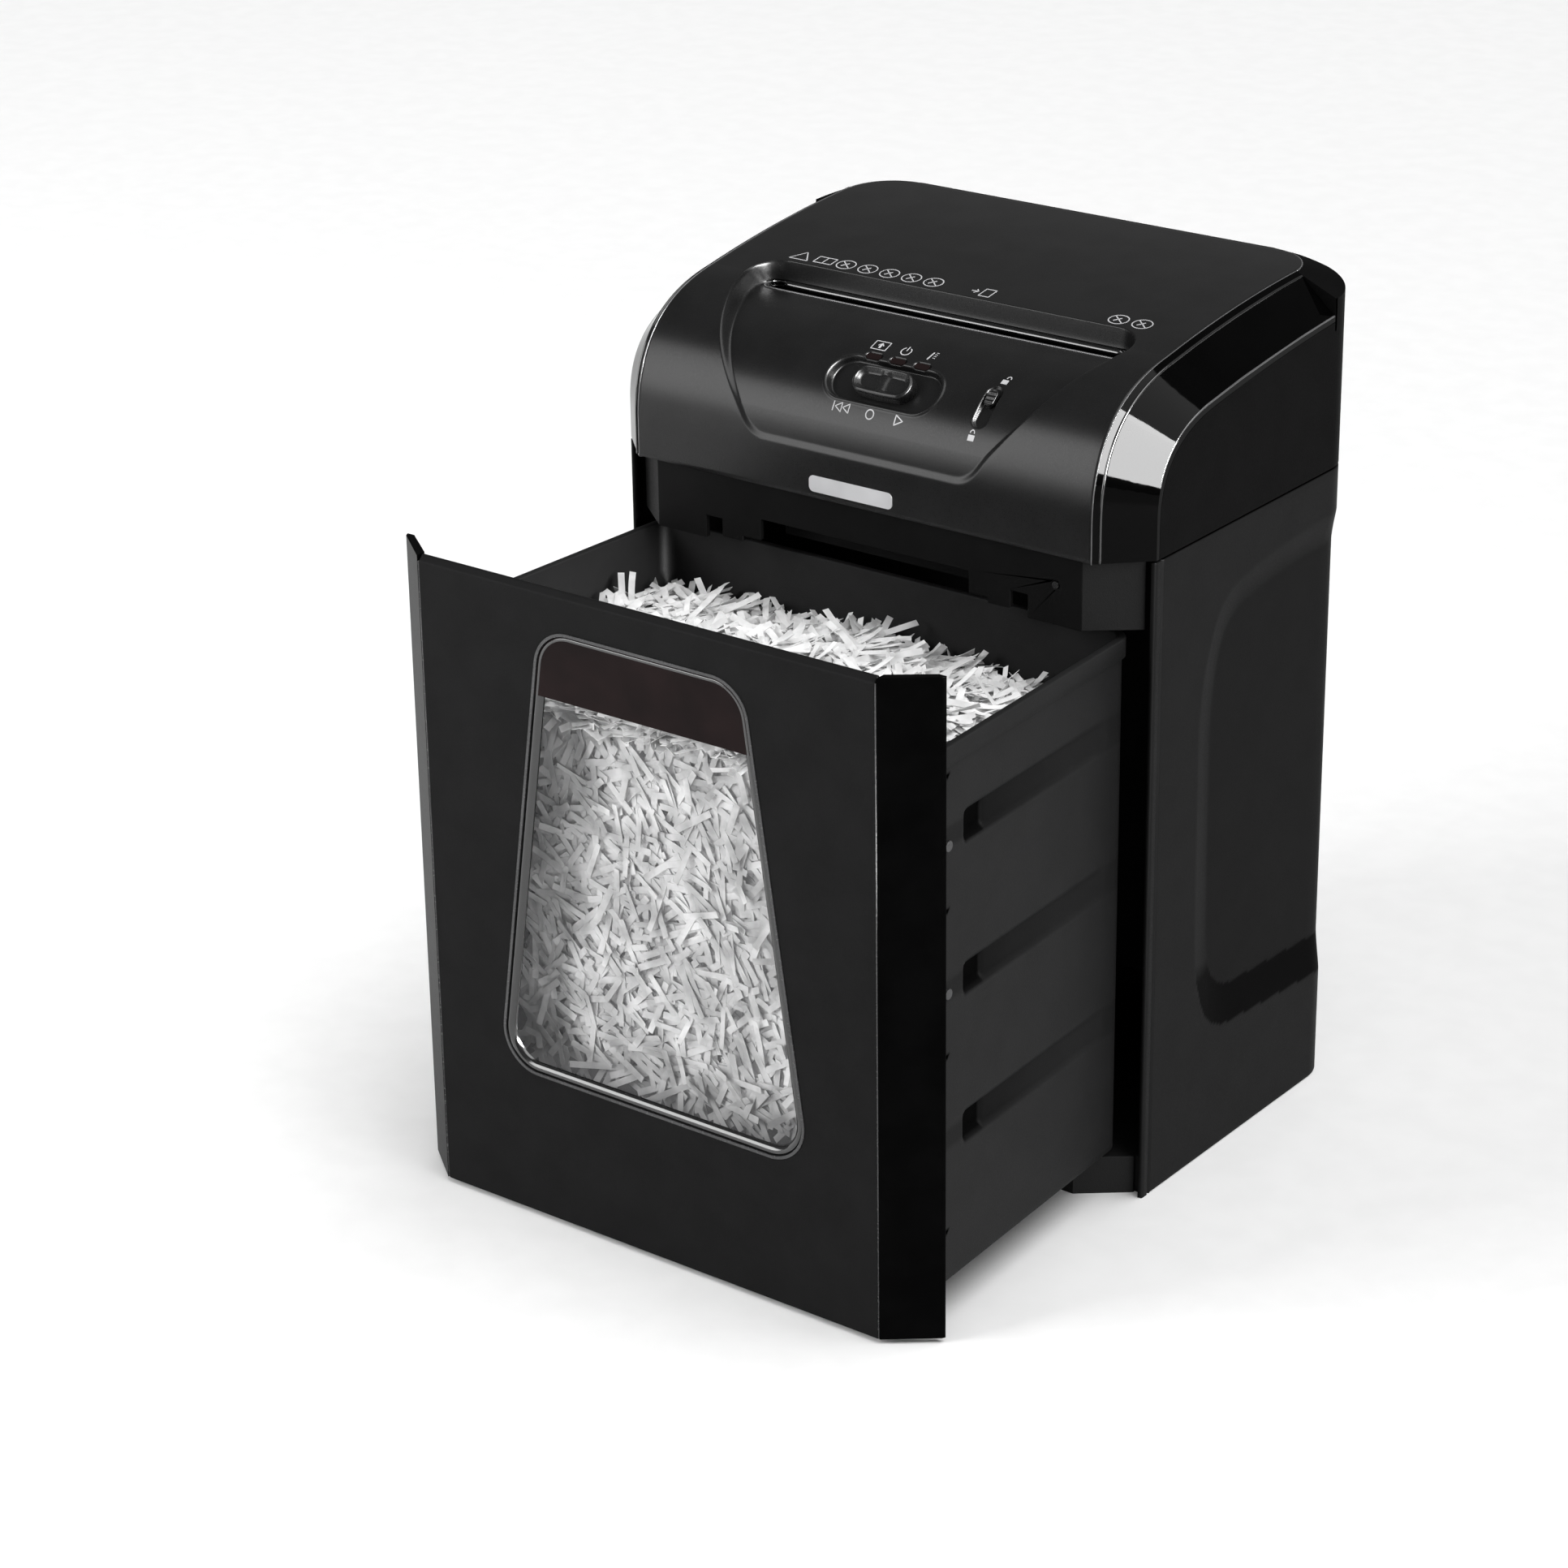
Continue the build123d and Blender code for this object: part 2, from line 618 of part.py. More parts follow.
with BuildPart() as lock_knob:
    with BuildSketch(lock_plane.offset(0.4 - LOCK_POCKET[2])):
        with Locations((0, LOCK_TRAVEL / 2)):
            SlotOverall(*LOCK_KNOB, rotation=90)
    extrude(amount=LOCK_POCKET[2])
    with BuildSketch(lock_plane.offset(-LOCK_POCKET[2] - WALL - 3)):
        with Locations((0, LOCK_TRAVEL / 2)):
            Rectangle(STEM_W, STEM_W)
    extrude(amount=WALL + 3.5)
save(lock_knob.part, "lock_knob")

# ---------------------------------------------------------------- cutters and drive

shafts = ((FRONT_ROLLER_Y, BUSH_R), (REAR_ROLLER_Y, BUSH_R))
plate_bottom = SEAM_Z + SEAM_GAP + BASE_T


def end_plate(x, holes):
    """A steel side frame with its shaft holes."""
    with BuildPart() as plate:
        with BuildSketch(Plane.YZ.offset(x)):
            with Locations(((PLATE_Y[0] + PLATE_Y[1]) / 2, (plate_bottom + PLATE_TOP) / 2)):
                RectangleRounded(PLATE_Y[1] - PLATE_Y[0], PLATE_TOP - plate_bottom, 4)
            for y, r in holes:
                with Locations((y, ROLLER_Z)):
                    Circle(r, mode=Mode.SUBTRACT)
        extrude(amount=PLATE_T)
    return plate.part


save(end_plate(-PLATE_X - PLATE_T, shafts), "end_plate_left")
save(end_plate(PLATE_X, shafts + ((IDLER_Y, AXLE_R), (MOTOR_Y, BUSH_R))), "end_plate_right")

with BuildPart() as shaft_bushes:
    for x in (BUSH_X, -BUSH_X - BUSH_L):
        for y in (FRONT_ROLLER_Y, REAR_ROLLER_Y):
            with BuildSketch(across(x, y)):
                Circle(BUSH_R)
                Circle(JOURNAL_R + RUNNING_FIT, mode=Mode.SUBTRACT)
            extrude(amount=BUSH_L)
save(shaft_bushes.part, "shaft_bushes")

with BuildPart() as tie_bars:
    for y, z in TIE_BARS:
        with BuildSketch(across(-PLATE_X, y, z)):
            Circle(4)
        extrude(amount=2 * PLATE_X)
save(tie_bars.part, "tie_bars")


def cutter_roller(y, shift, right_end):
    """A roller turned from one bar: journals, core and discs."""
    with BuildPart() as roller:
        with BuildSketch(Plane(origin=(0, y, ROLLER_Z))):
            with BuildLine():
                points = [(-JOURNAL_END, 0), (-JOURNAL_END, JOURNAL_R), (-CORE_X, JOURNAL_R)]
                points += [(-CORE_X, CORE_R)]
                for x in disc_centres(shift):
                    low, high = x - DISC_T / 2, x + DISC_T / 2
                    points += [(low, CORE_R), (low, DISC_R), (high, DISC_R), (high, CORE_R)]
                points += [(CORE_X, CORE_R), (CORE_X, JOURNAL_R), (right_end, JOURNAL_R), (right_end, 0)]
                Polyline(*points, close=True)
            make_face()
        revolve(axis=Axis((0, y, ROLLER_Z), (1, 0, 0)))
    return roller.part


save(cutter_roller(FRONT_ROLLER_Y, -DISC_PITCH / 4, ROLLER_GEAR_X + GEAR_W), "cutter_roller_front")
save(cutter_roller(REAR_ROLLER_Y, DISC_PITCH / 4, DRIVE_GEAR_X + GEAR_W + 1), "cutter_roller_rear")


def comb(bar_y, finger_y, shift):
    """A stripper comb: a bar with one finger in each gap between discs."""
    with BuildPart() as stripper:
        with BuildSketch(Plane.XY.offset(ROLLER_Z - COMB_H / 2)):
            with Locations((0, (bar_y[0] + bar_y[1]) / 2)):
                Rectangle(2 * PLATE_X, abs(bar_y[1] - bar_y[0]))
            for x in disc_centres(shift)[:-1]:
                with Locations((x + DISC_PITCH / 2, (bar_y[1] + finger_y) / 2)):
                    Rectangle(FINGER_W, abs(finger_y - bar_y[1]))
        extrude(amount=COMB_H)
    return stripper.part


front_bar = (FRONT_ROLLER_Y - DISC_R - 7, FRONT_ROLLER_Y - DISC_R - 2.5)
rear_bar = (REAR_ROLLER_Y + DISC_R + 7, REAR_ROLLER_Y + DISC_R + 2.5)
save(comb(front_bar, FRONT_ROLLER_Y - CORE_R - 1, -DISC_PITCH / 4), "front_comb")
save(comb(rear_bar, REAR_ROLLER_Y + CORE_R + 1, DISC_PITCH / 4), "rear_comb")


def gear(x, y, teeth, phase, bore_r, width):
    """One spur gear on a shaft."""
    with BuildPart() as wheel:
        extrude(gear_outline(across(x, y), teeth, phase, bore_r), amount=width)
    return wheel.part


save(gear(ROLLER_GEAR_X, FRONT_ROLLER_Y, ROLLER_TEETH, math.pi / ROLLER_TEETH, JOURNAL_R, GEAR_W),
     "front_roller_gear")
save(gear(ROLLER_GEAR_X, REAR_ROLLER_Y, ROLLER_TEETH, 0, JOURNAL_R, GEAR_W), "rear_roller_gear")
save(gear(DRIVE_GEAR_X, REAR_ROLLER_Y, DRIVE_TEETH, 0, JOURNAL_R, GEAR_W), "drive_gear")

with BuildPart() as compound_gear:
    bore = AXLE_R + RUNNING_FIT
    extrude(gear_outline(across(DRIVE_GEAR_X - 0.5, IDLER_Y), SMALL_TEETH, math.pi / SMALL_TEETH, bore),
            amount=BIG_GEAR_X - DRIVE_GEAR_X + 0.5)
    extrude(gear_outline(across(BIG_GEAR_X, IDLER_Y), BIG_TEETH, 0, bore), amount=GEAR_W - 1)
save(compound_gear.part, "compound_gear")

with BuildPart() as idler_axle:
    with BuildSketch(across(PLATE_X, IDLER_Y)):
        Circle(AXLE_R)
    extrude(amount=AXLE_END - PLATE_X)
save(idler_axle.part, "idler_axle")

with BuildPart() as motor_housing:
    with BuildSketch(across(MOTOR_X, MOTOR_Y)):
        Circle(MOTOR_R)
    extrude(amount=PLATE_X - MOTOR_X)
    with BuildSketch(across(MOTOR_X + 3, MOTOR_Y)):
        Circle(MOTOR_R - 2)
    extrude(amount=PLATE_X - MOTOR_X - 6, mode=Mode.SUBTRACT)
    with BuildSketch(across(PLATE_X, MOTOR_Y)):
        Circle(BUSH_R)
    extrude(amount=PLATE_T)
    with BuildSketch(across(MOTOR_X - 1, MOTOR_Y)):
        Circle(AXLE_R + RUNNING_FIT)
    extrude(amount=PLATE_X + PLATE_T - MOTOR_X + 2, mode=Mode.SUBTRACT)
save(motor_housing.part, "motor_housing")

with BuildPart() as motor_rotor:
    for x, r, length in ROTOR_STEPS:
        with BuildSketch(across(x, MOTOR_Y)):
            Circle(r)
        extrude(amount=length)
save(motor_rotor.part, "motor_rotor")
save(gear(BIG_GEAR_X, MOTOR_Y, PINION_TEETH, math.pi / PINION_TEETH, AXLE_R, GEAR_W - 1), "motor_pinion")

# ---------------------------------------------------------------- electrics

with BuildPart() as control_board:
    with BuildSketch(Plane.YZ.offset(-BOARD_X)):
        with Locations((BOARD_Y, BOARD_Z)):
            Rectangle(*BOARD_SIZE)
    extrude(amount=BOARD_T)
save(control_board.part, "control_board")

with BuildPart() as board_parts:
    with BuildSketch(Plane.YZ.offset(-BOARD_X)):
        for y, z, length, height in BOARD_BLOCKS:
            with Locations((BOARD_Y + y, BOARD_Z + z)):
                Rectangle(length, height)
        with Locations(*[(BOARD_Y + y, BOARD_Z + z) for y, z in BOARD_CANS]):
            Circle(CAN_R)
    extrude(amount=-CAN_H)
    with BuildSketch(Plane.YZ.offset(-BOARD_X)):
        with Locations((BOARD_Y + CONNECTOR[0], BOARD_Z + CONNECTOR[1])):
            Rectangle(CONNECTOR[2], CONNECTOR[3])
    extrude(amount=-CONNECTOR[4])
save(board_parts.part, "board_parts")

with BuildPart() as paper_sensor:
    with BuildSketch(throat_plane):
        with Locations((0, THROAT_Y + (THROAT_BODY[1] + SENSOR_SIZE[1]) / 2)):
            Rectangle(SENSOR_SIZE[0], SENSOR_SIZE[1])
    extrude(amount=SENSOR_SIZE[2])
save(paper_sensor.part, "paper_sensor")


def switch_body(plane, depth, size, turn, travel):
    """A slide switch's body behind a pocket, open in front for the knob's stem."""
    with BuildPart() as body:
        with BuildSketch(plane.offset(-depth - WALL - SWITCH_H)):
            Rectangle(*size, rotation=turn)
        extrude(amount=SWITCH_H)
        with BuildSketch(plane.offset(-depth - WALL - SWITCH_CAVITY + 1)):
            Rectangle(travel + STEM_W + 2 * STEM_PLAY, STEM_W + 2 * STEM_PLAY, rotation=turn)
        extrude(amount=SWITCH_CAVITY, mode=Mode.SUBTRACT)
    return body.part


save(switch_body(control_plane, SWITCH_POCKET[2], MODE_SWITCH, 0, KNOB[0] - 3), "mode_switch_body")
save(switch_body(lock_plane, LOCK_POCKET[2], LOCK_SWITCH, 90, LOCK_TRAVEL), "lock_switch_body")

with BuildPart() as interlock_switch:
    with BuildSketch(upright(INTERLOCK_Y)):
        with Locations((INTERLOCK_X, INTERLOCK_Z)):
            Rectangle(INTERLOCK_SIZE[0], INTERLOCK_SIZE[1])
    extrude(amount=INTERLOCK_SIZE[2])
    with BuildSketch(upright(INTERLOCK_Y - 7)):
        with Locations((INTERLOCK_X, INTERLOCK_Z)):
            Circle(PLUNGER_R + PLUNGER_PLAY)
    extrude(amount=PLUNGER_L, mode=Mode.SUBTRACT)
    # the bracket that hangs the switch from the head's base
    with BuildSketch(Plane.XY.offset(INTERLOCK_Z + INTERLOCK_SIZE[1] / 2)):
        with Locations((INTERLOCK_X, INTERLOCK_Y - INTERLOCK_SIZE[2] / 2)):
            Rectangle(*BRACKET_SIZE)
    extrude(amount=SEAM_Z + SEAM_GAP - INTERLOCK_Z - INTERLOCK_SIZE[1] / 2)
save(interlock_switch.part, "interlock_switch")

with BuildPart() as interlock_plunger:
    with BuildSketch(upright(INTERLOCK_Y - 12)):
        with Locations((INTERLOCK_X, INTERLOCK_Z)):
            Circle(PLUNGER_R)
    extrude(amount=PLUNGER_L)
save(interlock_plunger.part, "interlock_plunger")

with BuildPart() as cord_gland:
    with BuildSketch(upright(REAR_Y)):
        with Locations((GLAND_X, GLAND_Z)):
            Circle(GLAND_R)
    extrude(amount=WALL)
    with BuildSketch(upright(REAR_Y)):
        with Locations((GLAND_X, GLAND_Z)):
            Circle(GLAND_R + GLAND_FLANGE)
    extrude(amount=-2)
    with BuildSketch(upright(REAR_Y + 2)):
        with Locations((GLAND_X, GLAND_Z)):
            Circle(GLAND_R - 1)
    extrude(amount=-GLAND_NOSE, taper=10)
    with BuildSketch(upright(REAR_Y + 2 * GLAND_NOSE)):
        with Locations((GLAND_X, GLAND_Z)):
            Circle(CORD_R)
    extrude(amount=3 * GLAND_NOSE, mode=Mode.SUBTRACT)
save(cord_gland.part, "cord_gland")

# ---------------------------------------------------------------- bin

with BuildPart() as tub_room:
    for low, high, inset in tub_layers():
        extrude(tub_plan(Plane.XY.offset(low), inset), amount=high - low)

with BuildPart() as bin_tub:
    extrude(tub_plan(Plane.XY.offset(TUB_BOTTOM), RIM_OUT), amount=RIM_Z - TUB_BOTTOM)
    extrude(tub_plan(Plane.XY.offset(RIM_Z - RIM_H), 0), amount=RIM_H)
    add(tub_room.part, mode=Mode.SUBTRACT)
    # the three grooves in each side
    for z in GROOVES_Z:
        with BuildSketch(Plane.XY.offset(z - GROOVE_H / 2)):
            add(tub_plan(Plane.XY, RIM_OUT - 1))
            add(tub_plan(Plane.XY, RIM_OUT + GROOVE_DEPTH), mode=Mode.SUBTRACT)
            with Locations((0, (GROOVE_Y[0] + GROOVE_Y[1]) / 2)):
                Rectangle(WIDTH, GROOVE_Y[1] - GROOVE_Y[0], mode=Mode.INTERSECT)
        extrude(amount=GROOVE_H, mode=Mode.SUBTRACT)
    # the clip holes and screw holes just behind the front's wings
    with BuildSketch(Plane.YZ):
        with Locations(*[(FASTENER_Y + 4, z) for z in CLIPS_Z]):
            Trapezoid(*CLIP_SIZE, 60)
        with Locations(*[(FASTENER_Y, z) for z in SCREWS_Z]):
            Circle(SCREW_R)
    extrude(amount=WIDTH, both=True, mode=Mode.SUBTRACT)
    extrude(window_outline(upright(PANEL_BACK_Y + 12), 3), amount=20, mode=Mode.SUBTRACT)
save(bin_tub.part, "bin_tub")

with BuildPart() as bin_front:
    with BuildSketch(upright(PANEL_BACK_Y)):
        with Locations((0, (PANEL_BOTTOM + PANEL_TOP) / 2)):
            Rectangle(2 * PANEL_X, PANEL_TOP - PANEL_BOTTOM)
    extrude(amount=PANEL_T)
    chamfer(bin_front.edges().group_by(Axis.Z)[-1].sort_by(Axis.Y)[0], 3)
    extrude(window_outline(upright(PANEL_BACK_Y), 0), amount=PANEL_T, mode=Mode.SUBTRACT)
save(bin_front.part, "bin_front")

with BuildPart() as bin_trim_right:
    with BuildSketch(Plane.XY.offset(PANEL_BOTTOM)):
        with BuildLine():
            Polyline((PANEL_X + 0.7, PANEL_FRONT_Y), (SIDE_X - 0.8, WING_Y - 2.4), (SIDE_X, WING_Y - 1.2),
                     (SIDE_X, WING_Y), (SIDE_X - WING_FOOT, WING_Y), (PANEL_X + 0.7, PANEL_FRONT_Y + 6),
                     close=True)
        make_face()
    extrude(amount=PANEL_TOP - PANEL_BOTTOM)
save(bin_trim_right.part, "bin_trim_right")

with BuildPart() as bin_trim_left:
    mirror(bin_trim_right.part, about=Plane.YZ)
save(bin_trim_left.part, "bin_trim_left")

with BuildPart() as window_bead:
    extrude(window_outline(upright(PANEL_FRONT_Y), BEAD[1]), amount=BEAD[2])
    extrude(window_outline(upright(PANEL_FRONT_Y), BEAD[0]), amount=BEAD[2], mode=Mode.SUBTRACT)
save(window_bead.part, "window_bead")

with BuildPart() as handle_plate:
    extrude(window_outline(upright(PANEL_FRONT_Y + 3.2), -0.4), amount=3)
    split(bisect_by=Plane.XY.offset(HANDLE_Z), keep=Keep.TOP)
save(handle_plate.part, "handle_plate")

with BuildPart() as tray_outside:
    loft([window_outline(upright(PANEL_FRONT_Y + 3.3), -0.4), window_outline(upright(TRAY_BACK_Y), -8)],
         ruled=True)

with BuildPart() as tray_inside:
    loft([window_outline(upright(PANEL_FRONT_Y + 3.3), -2.9),
          window_outline(upright(TRAY_BACK_Y - WALL), -10)], ruled=True)

with BuildPart() as window_tray:
    add(tray_outside.part)
    add(tray_inside.part, mode=Mode.SUBTRACT)
save(window_tray.part, "window_tray")

with BuildPart() as bin_screws:
    for side in (-1, 1):
        for z in SCREWS_Z:
            with BuildSketch(Plane.YZ.offset(side * SCREW_HEAD_X)):
                with Locations((FASTENER_Y, z)):
                    Circle(SCREW_R - 0.1)
            extrude(amount=-side * SCREW_L)
            with BuildSketch(Plane.YZ.offset(side * SCREW_HEAD_X)):
                with Locations((FASTENER_Y, z)):
                    Circle(SCREW_HEAD[0])
            extrude(amount=side * SCREW_HEAD[1])
save(bin_screws.part, "bin_screws")


def heap(inset):
    """The shredded paper's outer shape, clear of the window tray."""
    with BuildPart() as block:
        extrude(tub_plan(Plane.XY.offset(TUB_BOTTOM + WALL + 0.5 + inset), 9 + inset), amount=300)
        with BuildSketch(Plane.YZ):
            with BuildLine():
                Line((HEAP_Y[0], HEAP_Z[0] - inset), (HEAP_Y[0], 0))
                Line((HEAP_Y[0], 0), (HEAP_Y[1], 0))
                Line((HEAP_Y[1], 0), (HEAP_Y[1], HEAP_Z[2] - inset))
                ThreePointArc((HEAP_Y[1], HEAP_Z[2] - inset), (sum(HEAP_Y) / 2, HEAP_Z[1] - inset),
                              (HEAP_Y[0], HEAP_Z[0] - inset))
            make_face()
        extrude(amount=WIDTH, both=True, mode=Mode.INTERSECT)
        extrude(window_outline(upright(TRAY_BACK_Y + 0.5 + inset), 3 + inset), amount=60, mode=Mode.SUBTRACT)
    return block.part


with BuildPart() as shredded_paper:
    add(heap(0))
    add(heap(PAPER_T), mode=Mode.SUBTRACT)
save(shredded_paper.part, "shredded_paper")
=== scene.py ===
import json
import math

import bpy
import numpy as np
from mathutils import Matrix, Quaternion, Vector


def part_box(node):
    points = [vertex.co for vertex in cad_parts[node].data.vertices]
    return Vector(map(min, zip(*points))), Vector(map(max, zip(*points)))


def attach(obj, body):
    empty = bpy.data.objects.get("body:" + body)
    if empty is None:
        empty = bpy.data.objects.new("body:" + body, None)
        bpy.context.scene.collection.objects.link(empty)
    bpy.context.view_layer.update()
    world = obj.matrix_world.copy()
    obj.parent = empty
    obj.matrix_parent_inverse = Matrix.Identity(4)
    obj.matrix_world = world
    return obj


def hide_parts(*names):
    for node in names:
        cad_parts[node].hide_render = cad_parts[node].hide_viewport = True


# Looks of the paper shredder. Pieces are worked out in millimetres in the CAD frame; MM turns them to metres.

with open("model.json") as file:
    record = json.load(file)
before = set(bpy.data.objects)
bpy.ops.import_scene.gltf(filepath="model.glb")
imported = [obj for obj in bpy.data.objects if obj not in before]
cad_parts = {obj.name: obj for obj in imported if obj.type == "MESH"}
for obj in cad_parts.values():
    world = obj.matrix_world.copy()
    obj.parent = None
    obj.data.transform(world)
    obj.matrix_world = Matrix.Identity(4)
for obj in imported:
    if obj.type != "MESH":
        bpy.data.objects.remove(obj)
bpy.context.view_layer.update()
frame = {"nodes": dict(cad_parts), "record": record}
MM = 0.001
SIDES = ((1, "right"), (-1, "left"))
NODES = frame["nodes"]
rng = np.random.default_rng(12)


def low_mm(node):
    """The low corner of a CAD node's box."""
    return np.array(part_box(node)[0]) / MM


def high_mm(node):
    """The high corner of a CAD node's box."""
    return np.array(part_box(node)[1]) / MM


# ---------------- materials

def shader(name):
    """A new node material: the material, its nodes, its links and its principled shader."""
    mat = bpy.data.materials.new(name)
    mat.use_nodes = True
    nodes, links = mat.node_tree.nodes, mat.node_tree.links
    return mat, nodes, links, nodes["Principled BSDF"]


def noise(nodes, links, scale, detail=3.0, stretch=None):
    """A noise texture over the object's own coordinates, in metres."""
    coord = nodes.new("ShaderNodeTexCoord")
    tex = nodes.new("ShaderNodeTexNoise")
    tex.inputs["Scale"].default_value = scale
    tex.inputs["Detail"].default_value = detail
    if stretch:
        mapping = nodes.new("ShaderNodeMapping")
        mapping.inputs["Scale"].default_value = stretch
        links.new(coord.outputs["Object"], mapping.inputs["Vector"])
        links.new(mapping.outputs["Vector"], tex.inputs["Vector"])
    else:
        links.new(coord.outputs["Object"], tex.inputs["Vector"])
    return tex


def spread(nodes, links, tex, low, high):
    """A number that follows a texture between two values."""
    ranged = nodes.new("ShaderNodeMapRange")
    ranged.inputs["From Min"].default_value = 0.3
    ranged.inputs["From Max"].default_value = 0.7
    ranged.inputs["To Min"].default_value = low
    ranged.inputs["To Max"].default_value = high
    links.new(tex.outputs["Fac"], ranged.inputs["Value"])
    return ranged.outputs["Result"]


def tint(nodes, links, tex, dark, light):
    """A colour that follows a texture between two colours."""
    ramp = nodes.new("ShaderNodeValToRGB")
    ramp.color_ramp.elements[0].position = 0.35
    ramp.color_ramp.elements[1].position = 0.65
    ramp.color_ramp.elements[0].color = (*dark, 1)
    ramp.color_ramp.elements[1].color = (*light, 1)
    links.new(tex.outputs["Fac"], ramp.inputs["Fac"])
    return ramp.outputs["Color"]


def moulded(name, dark, light, rough, grain, depth, specular=0.5, metallic=0.0, blotch=40.0, stretch=None):
    """A moulded or machined surface: fine grain in bump and roughness, slow drift in colour."""
    mat, nodes, links, bsdf = shader(name)
    fine = noise(nodes, links, grain, 4.0, stretch)
    slow = noise(nodes, links, blotch, 2.0)
    links.new(tint(nodes, links, slow, dark, light), bsdf.inputs["Base Color"])
    links.new(spread(nodes, links, fine, *rough), bsdf.inputs["Roughness"])
    bump = nodes.new("ShaderNodeBump")
    bump.inputs["Strength"].default_value = 0.6
    bump.inputs["Distance"].default_value = depth
    links.new(fine.outputs["Fac"], bump.inputs["Height"])
    links.new(bump.outputs["Normal"], bsdf.inputs["Normal"])
    bsdf.inputs["Specular IOR Level"].default_value = specular
    bsdf.inputs["Metallic"].default_value = metallic
    return mat


def with_painted_shade(name, *look):
    """A moulded surface with painted shade: it darkens, in colour and in reflection, where its mesh's painted
    shade attribute rises.
    """
    mat = moulded(name, *look)
    nodes, links = mat.node_tree.nodes, mat.node_tree.links
    base = nodes["Principled BSDF"].inputs["Base Color"]
    plain = base.links[0].from_socket
    painted_shade = nodes.new("ShaderNodeAttribute")
    painted_shade.attribute_name = "painted_shade"
    mix = nodes.new("ShaderNodeMix")
    mix.data_type = "RGBA"
    # the near-black colour that the painted shade mixes in
    mix.inputs["B"].default_value = (0.0005, 0.0005, 0.0005, 1)
    links.new(painted_shade.outputs["Fac"], mix.inputs["Factor"])
    links.new(plain, mix.inputs["A"])
    links.new(mix.outputs["Result"], base)
    # the painted shade also takes away the surface's reflection
    level = nodes.new("ShaderNodeMapRange")
    level.inputs["To Min"].default_value = look[-1]
    level.inputs["To Max"].default_value = 0.0
    links.new(painted_shade.outputs["Fac"], level.inputs["Value"])
    links.new(level.outputs["Result"], nodes["Principled BSDF"].inputs["Specular IOR Level"])
    return mat


def clear(name, dark, light, rough, alpha):
    """A see-through moulding: mostly transparent, with a polished face."""
    mat, nodes, links, bsdf = shader(name)
    slow = noise(nodes, links, 25.0, 2.0)
    links.new(tint(nodes, links, slow, dark, light), bsdf.inputs["Base Color"])
    links.new(spread(nodes, links, slow, *rough), bsdf.inputs["Roughness"])
    bsdf.inputs["Alpha"].default_value = alpha
    bsdf.inputs["Specular IOR Level"].default_value = 0.5
    return mat


def paper_material(name, dark, light):
    """Office paper: matte, with a fine fibre."""
    mat, nodes, links, bsdf = shader(name)
    fibre = noise(nodes, links, 900.0, 5.0)
    slow = noise(nodes, links, 60.0, 3.0)
    links.new(tint(nodes, links, slow, grey(dark, 1.0), grey(light, 1.0)), bsdf.inputs["Base Color"])
    links.new(spread(nodes, links, fibre, 0.75, 0.95), bsdf.inputs["Roughness"])
    bump = nodes.new("ShaderNodeBump")
    bump.inputs["Strength"].default_value = 0.3
    bump.inputs["Distance"].default_value = 0.00005
    links.new(fibre.outputs["Fac"], bump.inputs["Height"])
    links.new(bump.outputs["Normal"], bsdf.inputs["Normal"])
    bsdf.inputs["Specular IOR Level"].default_value = 0.2
    return mat


def grey(value, blue=1.02):
    """A neutral colour, very slightly cool unless blue is 1."""
    return (value, value, value * blue)


